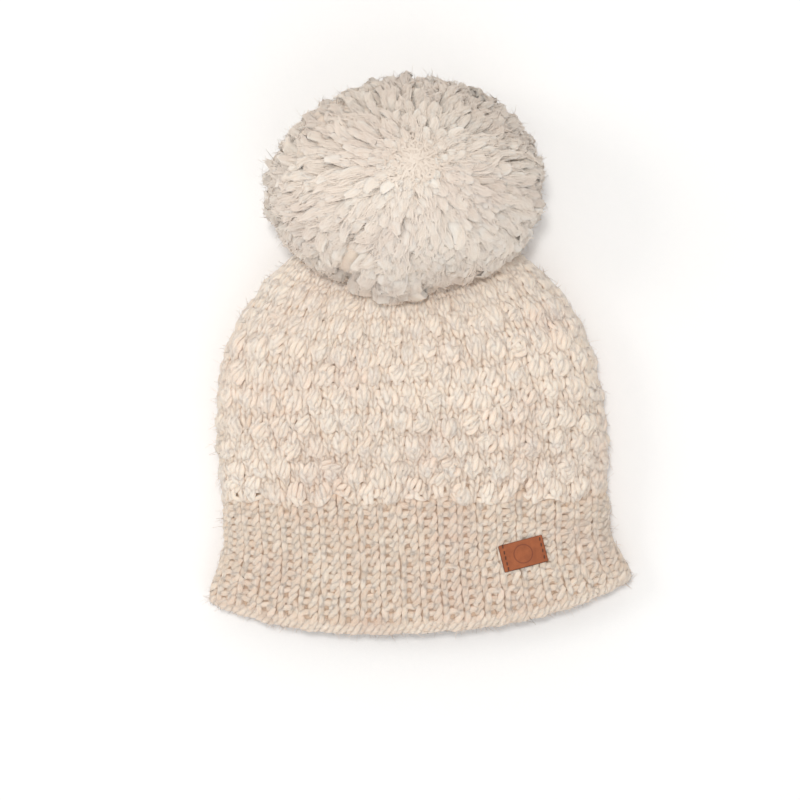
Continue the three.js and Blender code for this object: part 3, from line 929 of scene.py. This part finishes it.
def ribbons(paths, across, widths, values, deep, facing, name, slot):
    """Narrow strips of cloth-thin wool along many paths, joined in one piece."""
    count, steps = paths.shape[:2]
    half = across * (widths / 2)[..., None]
    vertices = np.stack([paths - half, paths + half], axis=2)
    number = np.arange(count * steps * 2).reshape(count, steps, 2)
    faces = np.stack([number[:, :-1, 0], number[:, :-1, 1], number[:, 1:, 1], number[:, 1:, 0]], -1)
    attributes = {
        "fibre": vertices.reshape(-1, 3),
        "deep": np.repeat(deep, steps * 2),
        "tint": np.repeat(values, steps * 2),
    }
    directions = np.broadcast_to(facing[:, :, None], vertices.shape).reshape(-1, 3)
    return make_piece(name, vertices, faces, attributes, slot, facing=directions)


# %% [markdown]
# ## Wisps on the locks
# A lock isn't smooth: it is a bundle of loose fibres in small wisps. They lie along it, spread over
# its top, and run a little past its blunt end, so that the locks seem to melt into each other. Each
# wisp is a narrow ribbon in four steps, which lies on its own lock.

# %% Comb the wisps
WISPS = 13500
CAP_WISPS = 700
WISP_STEPS = 5
PAST_END = 16
chance = np.random.default_rng(61)
owner = chance.integers(0, LOCKS, WISPS)
first = chance.uniform(0.30, 0.75, WISPS)
at = first[:, None] + chance.uniform(0.3, 0.5, (WISPS, 1)) * np.linspace(0, 1, WISP_STEPS)
step = np.clip(at, 0, 1) * (LOCK_STEPS - 1)
low_step = np.minimum(step.astype(int), LOCK_STEPS - 2)
part = (step - low_step)[..., None]
own = owner[:, None]
middle = lerp(points[own, low_step], points[own, low_step + 1], part)
wide = lerp(width[own, low_step], width[own, low_step + 1], part[..., 0])
outward = unit(lerp(normals[own, low_step], normals[own, low_step + 1], part))
run = unit(np.gradient(points, axis=1))[own, low_step]
sideways = unit(np.cross(run, outward))
offset = chance.uniform(-1.0, 1.0, (WISPS, 1)) + chance.normal(0, 0.16, (WISPS, WISP_STEPS))
rise = 0.55 * wide * np.sqrt(np.clip(1 - offset ** 2, 0.05, 1)) + chance.uniform(0.0, 0.5, (WISPS, 1))
beyond = np.maximum(at - 1, 0) * PAST_END
rise = np.where(beyond > 0, rise * np.exp(-beyond * 0.12), rise)
wisps = (middle + sideways * (offset * wide)[..., None] + outward * rise[..., None]
         + run * beyond[..., None])
wisps[..., 2] = np.maximum(wisps[..., 2], 0.3)
wisp_width = chance.uniform(0.35, 0.8, (WISPS, 1)) * np.array([0.5, 0.9, 1.0, 0.8, 0.25])
wisp_tone_and_shade = np.clip(lock_tone_and_shade[owner] + chance.normal(0, 0.10, WISPS), 0, 1)
print("wisps:", WISPS, "about", round(float(wisp_width.mean()), 2), "mm wide")

# %% [markdown]
# Where the locks part, hands have patted the pompom, and the wool there is matted in a small
# smooth dimple. A few hundred wisps lie across it, mostly pointing outward.

# %% Mat the parting
spot = chance.normal(0, 8.5, (CAP_WISPS, 1, 2))
heading = np.arctan2(spot[..., 1], spot[..., 0]) + chance.normal(0, 0.7, (CAP_WISPS, 1))
bending = heading + chance.normal(0, 0.4, (CAP_WISPS, 1)) * np.linspace(-1, 1, WISP_STEPS)
pace = chance.uniform(6, 14, (CAP_WISPS, 1)) * np.linspace(-0.5, 0.5, WISP_STEPS)
flat_a = spot[..., 0] + pace * np.cos(bending)
flat_b = spot[..., 1] + pace * np.sin(bending)
cap_ball = unit(parting + flat_a[..., None] / 75 * side_way + flat_b[..., None] / 62 * up_way)
cap_reach = chance.uniform(0.915, 0.95, (CAP_WISPS, 1)) * np.array([0.97, 1.0, 1.01, 1.0, 0.97])
cap_wisps = POMPOM_PLACE + cap_ball * cap_reach[..., None] * POMPOM_SIZE
cap_run = unit(np.gradient(cap_wisps, axis=1))
cap_outward = unit(cap_ball / POMPOM_SIZE)
cap_sideways = unit(np.cross(cap_run, cap_outward))
cap_width = chance.uniform(0.7, 1.3, (CAP_WISPS, 1)) * np.array([0.4, 1.0, 1.1, 1.0, 0.3])
pompom_wisps = ribbons(
    np.concatenate([wisps, cap_wisps]),
    np.concatenate([sideways, cap_sideways]),
    np.concatenate([wisp_width, cap_width]),
    # The matted wisps are painted darker, as the locks round the parting are.
    np.concatenate([wisp_tone_and_shade, chance.uniform(0.9, 1.4, CAP_WISPS)]),
    np.full(WISPS + CAP_WISPS, 0.05),
    np.concatenate([outward, cap_outward]),
    "pompom_wisps", "pompom_wool")

# %% [markdown]
# ## Fuzz
# Single fibres stand out of the yarn everywhere, and they give wool its soft outline. Blender could
# grow hair, but hair doesn't go into the exported part. So the fibres are very thin ribbons with a
# bend or two. Each starts at a point of a strand and leans away from it.

# %% Grow fuzz
CLEAR_OF_PATCH = 3


def grow_fuzz(sources, name, slot, count, length, thin, seed, steps=3, lie=0.4):
    chance = np.random.default_rng(seed)
    start, outward, along, facing, deep = (
        np.concatenate([strands.joined(key) for strands in sources])
        for key in ("vertices", "outward", "along", "facing", "deep"))
    likely = np.clip(1 - deep * 1.3, 0.02, 1)
    # None grows through the leather patch.
    patch_place = np.array([PATCH_PLACE[0], PATCH_PLACE[1] + HEM_LINE])
    near_patch = np.abs(start[:, :2] - patch_place) < PATCH_SIZE[:2] / 2 + CLEAR_OF_PATCH
    likely[near_patch.all(axis=1) & (start[:, 2] > HEM_DEPTH / 2)] = 0
    pick = chance.choice(len(start), count, p=likely / likely.sum())
    way = unit(outward[pick] * (1 - lie) + along[pick] * chance.normal(0, 0.3 + lie, (count, 1))
               + chance.normal(0, 0.35, (count, 3)))
    bend = chance.normal(0, 0.8, (count, 3)) - outward[pick] * lie
    reach = chance.uniform(*length, count)[:, None, None]
    share = np.linspace(0, 1, steps)[None, :, None]
    paths = start[pick][:, None] + reach * (share * way[:, None] + share ** 2 * 0.6 * bend[:, None])
    paths[..., 2] = np.maximum(paths[..., 2], 0.2)
    across = unit(np.cross(way, chance.normal(0, 1, (count, 3))))
    # The face of a ribbon is the side that looks away from the wool.
    across *= np.where(np.sum(np.cross(across, way) * facing[pick], -1) < 0, -1, 1)[:, None]
    widths = thin * np.linspace(1, 0.35, steps)[None, :]
    tints = chance.uniform(0.25, 0.65, count)
    directions = np.broadcast_to(facing[pick][:, None], paths.shape)
    return ribbons(paths, across[:, None], widths, tints, np.zeros(count), directions, name, slot)


fuzzy_knit = [rib, *(crown_knit[name] for name in ("crown_lower", "crown_upper", "crown_neck")), grains]
knit_fuzz = grow_fuzz(fuzzy_knit, "knit_fuzz", "crown_wool", 19000, (2.0, 5.5), 0.24, 31, lie=0.55)
hem_fuzz = grow_fuzz([hem], "hem_fuzz", "band_wool", 5000, (2.0, 4.5), 0.28, 33, lie=0.7)
pompom_fuzz = grow_fuzz([locks], "pompom_fuzz", "pompom_wool", 26000, (1.5, 4.5), 0.26, 32, lie=0.5)

# %% [markdown]
# ## The leather patch
# A small piece of tan leather is sewn on the ribs near the right fold. It is thick enough to show a
# dark cut edge, it bends with the band under it, and its face has a plain pressed ring. It is built
# as a fine grid, bent over the ribs, with its edge rounded off and the ring pressed in.

# %% The face of the ribs under the patch
RIBS_PRESSED = 0.5


def rib_top(x, y):
    """Height of the ribs over a place on the front of the band."""
    share = np.full(x.shape, 0.5)
    step = 0.25
    # The ring that passes through the place is found by halving the step again and again.
    for _ in range(18):
        share = share + np.where(band_line(x / band_half(share), share) < y, step, -step)
        step /= 2
    half = band_half(share) + RIB_RELIEF
    depth = lerp(HEM_DEPTH, WAIST_DEPTH, share)
    up = (1 - np.minimum(np.abs(x) / half, 1) ** FRONT_SQUARENESS) ** (1 / FRONT_SQUARENESS)
    top = depth + RIB_RELIEF
    return lerp(lerp(-RIB_RELIEF, top, WIDEST_AT), top, up) - RIBS_PRESSED


def on_patch(x, y, z):
    """From the patch's own flat place to its place on the hat."""
    cos, sin = math.cos(PATCH_TURN), math.sin(PATCH_TURN)
    hat_x = PATCH_PLACE[0] + x * cos - y * sin
    hat_y = PATCH_PLACE[1] + x * sin + y * cos
    return np.stack([hat_x, hat_y + HEM_LINE, rib_top(hat_x, hat_y) + SEAT_GAP + z], axis=-1)


across = PATCH_PLACE[0] + np.array([-12, 0, 12])
print("height of the ribs under the patch, mm:", np.round(rib_top(across, PATCH_PLACE[1]), 1).tolist())

# %% [markdown]
# The outline of the patch is a rectangle with small round corners. A square grid is squeezed into it,
# so that its outer rings follow the corners. The ring is pressed into it as a shallow groove.

# %% The face of the patch
RING_RADIUS = 5.1
RING_WIDTH = 0.42
RING_DEPTH = 0.16
EDGE_WIDTH = 0.7
EDGE_DROP = 0.34
CORNER = 0.8
columns, rows = 81, 49
grid_x, grid_y = np.meshgrid(np.linspace(-1, 1, columns), np.linspace(-1, 1, rows))
half_x, half_y, thick = PATCH_SIZE[0] / 2, PATCH_SIZE[1] / 2, PATCH_SIZE[2]
x, y = grid_x * half_x, grid_y * half_y
past_x, past_y = np.abs(x) - (half_x - CORNER), np.abs(y) - (half_y - CORNER)
in_corner = (past_x > 0) & (past_y > 0)
pull = np.maximum(past_x, past_y) / np.maximum(np.hypot(past_x, past_y), 1e-9)
x = np.where(in_corner, np.sign(x) * (half_x - CORNER + past_x * pull), x)
y = np.where(in_corner, np.sign(y) * (half_y - CORNER + past_y * pull), y)
edge = np.minimum(half_x - np.abs(x), half_y - np.abs(y))
pressed = np.exp(-((np.hypot(x, y) - RING_RADIUS) / RING_WIDTH) ** 2)
round_off = EDGE_DROP * (1 - np.clip(edge / EDGE_WIDTH, 0, 1)) ** 2
face = thick - round_off - RING_DEPTH * pressed + 0.05 * np.sin(x * 0.9 + 1) * np.sin(y * 0.8)
print("thickness of the patch, mm:", round(float(face.min()), 2), "to", round(float(face.max()), 2))

# %% [markdown]
# A second, lower copy of the grid makes the underside, and a strip round the edge joins the two.

# %% Cut the patch
upper = on_patch(x, y, face)
under = on_patch(x, y, np.full_like(x, 0.02))
number = np.arange(rows * columns).reshape(rows, columns)
lower = number + rows * columns
faces = [np.stack([number[:-1, :-1], number[:-1, 1:], number[1:, 1:], number[1:, :-1]], -1),
         np.stack([lower[:-1, :-1], lower[1:, :-1], lower[1:, 1:], lower[:-1, 1:]], -1)]
rim = np.concatenate([number[0, :-1], number[:-1, -1], number[-1, :0:-1], number[:0:-1, 0]])
next_rim = np.roll(rim, -1)
faces.append(np.stack([rim, rim + rows * columns, next_rim + rows * columns, next_rim], -1))
faces = np.concatenate([f.reshape(-1, 4) for f in faces])
own_place = np.stack([x, y, face], -1).reshape(-1, 3)
attributes = {"place": np.concatenate([own_place, own_place * [1, 1, 0]])}
patch = make_piece("patch", np.concatenate([upper, under]), faces, attributes, "leather")
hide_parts("leather_patch")

# %% [markdown]
# ## The stitches of the patch
# Dark waxed thread holds the patch along its two short sides. Each stitch is a short thread that
# comes out of one hole and goes into the next, so it is an arch that dives at both ends.

# %% Sew the patch on
LEFT_STITCHES = [6.7, 3.3, 0.2, -3.0, -6.0]
RIGHT_STITCHES = [5.6, 2.4, -1.0, -4.6]
STITCH_HALF = 0.95
STITCH_LEAN = 0.12
THREAD_RADIUS = 0.36
columns_at = [-half_x + 2.5, half_x - 1.7]
stitch_x = np.repeat(columns_at, [len(LEFT_STITCHES), len(RIGHT_STITCHES)])[:, None]
stitch_y = np.array(LEFT_STITCHES + RIGHT_STITCHES)[:, None]
share = np.linspace(-1, 1, 9)[None, :]
height = thick + 0.22 - 0.75 * np.abs(share) ** 3
points = on_patch(stitch_x + STITCH_LEAN * share, stitch_y + STITCH_HALF * share, height)
normals = np.broadcast_to([0.0, 0.0, 1.0], points.shape)
thread = Strands()
thread.add(points, normals, THREAD_RADIUS, height * 0, sides=8, seed=43, twist=2.5)
patch_thread = piece_of(thread, "patch_thread", "leather")

# %% [markdown]
# ## A way to write finishes
# A finish is a small net of nodes. To keep it readable, an output of a node is wrapped in a class
# that understands plus, minus, times and so on, so that a formula is written as a formula.

# %% Wires


class Wire:
    """The output of a node, with the operators of plain arithmetic."""

    def __init__(self, finish, socket):
        self.finish, self.socket = finish, socket

    def _with(self, operation, first, second):
        return self.finish.node("Math", {"operation": operation}, {0: first, 1: second})

    def __add__(self, other):
        return self._with("ADD", self, other)

    def __sub__(self, other):
        return self._with("SUBTRACT", self, other)

    def __rsub__(self, other):
        return self._with("SUBTRACT", other, self)

    def __mul__(self, other):
        return self._with("MULTIPLY", self, other)

    def __pow__(self, other):
        return self._with("POWER", self, other)

    __radd__ = __add__
    __rmul__ = __mul__


# %% [markdown]
# Any other node comes from one method that takes its type, its settings, and the values or links
# that go in. The short methods after it name the few nodes that are needed again and again.

# %% Finishes


class Finish:
    """A material that is being written."""

    def __init__(self, name):
        self.material = bpy.data.materials.new(name)
        self.material.use_nodes = True
        self.tree = self.material.node_tree
        self.tree.nodes.clear()

    def node(self, kind, settings={}, inputs={}, output=0):
        """A node of one kind, with its settings and then the values or links that go in."""
        made = self.tree.nodes.new("ShaderNode" + kind)
        for key, value in settings.items():
            setattr(made, key, value)
        for key, value in inputs.items():
            if isinstance(value, Wire):
                self.tree.links.new(value.socket, made.inputs[key])
            else:
                made.inputs[key].default_value = value
        return Wire(self, made.outputs[output])

    def value(self, name):
        """A number that the vertices of the mesh carry."""
        return self.node("Attribute", {"attribute_name": name}, output="Fac")

    def vector(self, name):
        """Three numbers that the vertices of the mesh carry."""
        return self.node("Attribute", {"attribute_name": name}, output="Vector")

    def three_parts(self, vector):
        node = self.node("SeparateXYZ", {}, {"Vector": vector}).socket.node
        return [Wire(self, socket) for socket in node.outputs]

    def mix(self, share, first, second):
        colour = [value if isinstance(value, Wire) else (*value, 1.0) for value in (first, second)]
        return self.node("Mix", {"data_type": "RGBA"}, {0: share, 6: colour[0], 7: colour[1]}, 2)

    def noise(self, place, scale, detail=2.0, rough=0.5):
        return self.node("TexNoise", {}, {
            "Vector": place, "Scale": scale, "Detail": detail, "Roughness": rough})

    def stretched(self, place, stretch):
        return self.node("Mapping", {"vector_type": "POINT"}, {"Vector": place, "Scale": stretch})

    def clamp(self, wire):
        return self.node("Clamp", {}, {"Value": wire})

    def magnitude(self, wire):
        return self.node("Math", {"operation": "ABSOLUTE"}, {0: wire})

    def smaller(self, first, second):
        return self.node("Math", {"operation": "MINIMUM"}, {0: first, 1: second})

    def bump(self, height, distance, strength=1.0):
        return self.node("Bump", {}, {"Height": height, "Distance": distance, "Strength": strength})

    def finish(self, shader):
        made = self.tree.nodes.new("ShaderNodeOutputMaterial")
        self.tree.links.new(shader.socket, made.inputs["Surface"])
        print(self.material.name, len(self.tree.nodes), "nodes")


# %% [markdown]
# ## Wool
# Both wools are undyed, matt and a little see-through at their edges. The oatmeal one is spun: fine
# streaks follow the twist of the yarn. The ivory one is loose roving. Each strand has a tone of its
# own, soft clouds vary the dye over the hat, and deep places are painted a warm, darker shade, for
# light that gets there has gone through wool. The strands' tone also carries painted shade and light.
# A little light scatters under the surface, and that keeps the wool soft. Single fibres are too thin
# for that, so they have the same finish without it.

# %% Wool


def wool_finish(name, light, dark, warm_shade, streak, pink, through, scale):
    """A wool with its light and dark shades, the painted warm shade of deep places, its streaks, a pink
    tinge, and how much and far light goes in.
    """
    wool = Finish(name)
    fibre = wool.vector("fibre")
    deep = wool.value("deep")
    tint = wool.value("tint")
    streaks = wool.noise(wool.stretched(fibre, (2.2, 2.2, 0.35)), 1.0, 3.0, 0.6)
    fine = wool.noise(wool.stretched(fibre, (7.0, 7.0, 0.9)), 1.0, 2.0, 0.5)
    cloudy = wool.noise(wool.node("TexCoord", output="Object"), 28.0, 2.0, 0.5)
    # The strand's tone, which also carries painted shade and light, moves the wool between its light and
    # dark shades.
    shade = wool.clamp((tint - 0.5) * 0.5 + (streaks - 0.5) * streak + (cloudy - 0.5) * 0.8 + 0.4)
    colour = wool.mix(shade, light, dark)
    colour = wool.mix(wool.clamp((cloudy - 0.45) * 2.0), colour, wool.mix(0.35, colour, pink))
    # Painted shade: deep places are painted warm and darker.
    colour = wool.mix(wool.clamp(deep * deep * 0.9), colour, warm_shade)
    shader = wool.node("BsdfPrincipled", {}, {
        "Base Color": colour,
        "Roughness": 0.92 - fine * 0.1,
        "Normal": wool.bump(streaks * 0.6 + fine * 0.4, 0.0005, 0.6),
        "Specular IOR Level": 0.25,
        "Sheen Weight": 0.25,
        "Sheen Roughness": 0.5,
        "Sheen Tint": (1.0, 0.97, 0.93, 1.0),
        "Subsurface Weight": through,
        "Subsurface Radius": (1.0, 0.85, 0.75),
        "Subsurface Scale": scale,
    })
    wool.finish(shader)
    return wool.material


# Each wool: its light and dark shades, the colour of the painted shade in deep places, how strong the
# streaks are, and a pink tinge.
OATMEAL = ((0.955, 0.805, 0.685), (0.66, 0.515, 0.405), (0.64, 0.43, 0.275), 1.1, (0.92, 0.69, 0.62))
IVORY = ((0.975, 0.885, 0.79), (0.76, 0.645, 0.545), (0.86, 0.61, 0.40), 0.5, (0.86, 0.72, 0.67))
knitted = [rib_knit, hem_roll, *crown_pieces, berry_grains, band_body, crown_body]
for name, wool_colours, through, scale, pieces in (
        ("oatmeal_wool", OATMEAL, 0.5, 0.003, knitted),
        ("ivory_roving", IVORY, 0.4, 0.004, [pompom_locks, pompom_middle]),
        ("oatmeal_fibres", OATMEAL, 0.0, 0.001, [knit_fuzz, hem_fuzz]),
        ("ivory_fibres", IVORY, 0.0, 0.001, [pompom_wisps, pompom_fuzz])):
    material = wool_finish(name, *wool_colours, through, scale)
    for piece in pieces:
        piece.data.materials.append(material)

# %% [markdown]
# ## Leather
# The patch is vegetable-tanned leather: warm tan with soft darker clouds, a fine grain, dark cut
# edges, painted shade along its left and lower edges, and a ring that was pressed with heat and is
# darker too. Every mark is worked out from the place on the flat patch, in millimetres. The grain is a
# cell pattern in the bump.

# %% Leather
leather = Finish("tan_leather")
place_on = leather.vector("place")
leather_x, leather_y, leather_z = leather.three_parts(place_on)
from_middle = (leather_x * leather_x + leather_y * leather_y) ** 0.5
ring_mark = leather.clamp(1.0 - leather.magnitude(from_middle - RING_RADIUS) * 2.2)
edge_x = half_x - leather.magnitude(leather_x)
edge_y = half_y - leather.magnitude(leather_y)
edge_mark = leather.clamp(1.0 - leather.smaller(edge_x, edge_y) * 1.6)
# Painted shade: the left and the lower edge are painted dark, as shade along the patch's thick edge.
shaded_edge_mark = leather.clamp(1.0 - leather.smaller(leather_x + half_x, leather_y + half_y) * 1.9)
side_mark = leather.clamp((1.0 - leather_z) * 3.0)
clouds = leather.noise(place_on, 0.25, 3.0, 0.6)
grain = leather.node("TexVoronoi", {"feature": "DISTANCE_TO_EDGE"}, {"Vector": place_on, "Scale": 2.2})
pores = leather.noise(place_on, 5.0, 2.0, 0.5)
tan = leather.mix(leather.clamp((clouds - 0.35) * 2.2), (0.38, 0.110, 0.039), (0.26, 0.072, 0.027))
tan = leather.mix(leather.clamp((pores - 0.5) * 1.2), tan, (0.45, 0.167, 0.072))
tan = leather.mix(ring_mark * 0.8, tan, (0.15, 0.035, 0.018))
tan = leather.mix(edge_mark * 0.55, tan, (0.20, 0.06, 0.03))
# Painted shade along the left and lower edges.
tan = leather.mix(shaded_edge_mark * 0.9, tan, (0.065, 0.024, 0.013))
tan = leather.mix(side_mark, tan, (0.045, 0.018, 0.010))
leather.finish(leather.node("BsdfPrincipled", {}, {
    "Base Color": tan,
    "Roughness": 0.6 + pores * 0.2 - ring_mark * 0.1,
    "Normal": leather.bump(leather.clamp(grain * 2.0) * 0.5 + pores * 0.5, 0.00025, 0.6),
    "Specular IOR Level": 0.4,
}))
patch.data.materials.append(leather.material)

# %% [markdown]
# ## Waxed thread
# The thread is dark brown and waxed, so it is smoother than wool. Its twisted strands show as fine
# slanting streaks, in its colour and in the bump.

# %% Waxed thread
waxed = Finish("waxed_thread")
strand_mark = waxed.noise(waxed.stretched(waxed.vector("fibre"), (3.0, 3.0, 1.5)), 1.0)
waxed.finish(waxed.node("BsdfPrincipled", {}, {
    "Base Color": waxed.mix(strand_mark, (0.05, 0.014, 0.006), (0.14, 0.045, 0.018)),
    "Roughness": 0.6 - strand_mark * 0.15,
    "Normal": waxed.bump(strand_mark, 0.0002),
}))
patch_thread.data.materials.append(waxed.material)

# %% [markdown]
# ## The table
# The hat lies on a plain white surface. It is only there to carry the shadow, so it is one flat grid
# with a hardly visible unevenness.

# %% The table
TABLE_SIZE = 6
bpy.ops.mesh.primitive_grid_add(x_subdivisions=8, y_subdivisions=8, size=TABLE_SIZE)
table = bpy.context.object
table.name = "table"
white = Finish("white_table")
table_place = white.node("TexCoord", output="Object")
soft_cloud = white.noise(table_place, 3.0)
white.finish(white.node("BsdfPrincipled", {}, {
    "Base Color": white.mix(soft_cloud * 0.4, (0.95, 0.95, 0.95), (0.93, 0.93, 0.935)),
    "Roughness": 0.7 + soft_cloud * 0.1,
    "Normal": white.bump(white.noise(table_place, 900.0), 0.0001),
    "Specular IOR Level": 0.2,
}))
table.data.materials.append(white.material)

# %% [markdown]
# ## Light
# Wool shows its strands by the small shadows between them, so the light has a direction: a small
# window high over the pompom's end, a wider and weaker one from the left, and a faint fill from the
# hem's side. The world stands for the pale room round them and keeps the shadows open. One wide
# light would flatten the knitting, and a bare sun would make it look like plaster.

# %% Light
scene = bpy.context.scene
scene.view_settings.view_transform = "Standard"
world = bpy.data.worlds.new("pale_room")
scene.world = world
world.use_nodes = True
world.node_tree.nodes["Background"].inputs["Color"].default_value = (1.0, 0.99, 0.975, 1.0)
world.node_tree.nodes["Background"].inputs["Strength"].default_value = 0.60


def add_light(name, place, width, power, colour):
    """A square light that looks at the middle of the hat."""
    light = bpy.data.lights.new(name, "AREA")
    light.shape = "SQUARE"
    light.size = width
    light.energy = power
    light.color = colour
    holder = bpy.data.objects.new(name, light)
    holder.location = place
    aim = -holder.location.normalized()
    holder.rotation_mode = "QUATERNION"
    holder.rotation_quaternion = aim.to_track_quat("-Z", "Y")
    scene.collection.objects.link(holder)


add_light("window", (-0.11, 0.29, 2.4), 0.26, 20.0, (1.0, 0.985, 0.96))
add_light("side window", (-1.9, 0.6, 1.8), 0.9, 11.0, (1.0, 0.985, 0.965))
add_light("fill", (0.5, -1.6, 2.2), 1.8, 9.0, (0.97, 0.985, 1.0))

# %% [markdown]
# ## Camera
# The camera looks straight down, as the hat was photographed. It is far away with a long lens, so the
# height of the pompom hardly changes its outline. The width of what it sees is measured at the height
# of the folds, and it is turned by the few degrees that the hat leans in the picture.

# %% Camera
SEEN_WIDTH = 0.4444
SEEN_AT = 0.017
SENSOR = 36
HAT_LEANS = -3.2
EYE = (-0.0054, -0.02345, 1.6)
camera = bpy.data.cameras.new("eye")
camera.sensor_width = SENSOR
camera.lens = SENSOR * (EYE[2] - SEEN_AT) / SEEN_WIDTH
eye = bpy.data.objects.new("eye", camera)
eye.location = EYE
eye.rotation_euler = (0, 0, math.radians(HAT_LEANS))
scene.collection.objects.link(eye)
scene.camera = eye
print("lens:", round(camera.lens, 1), "mm")
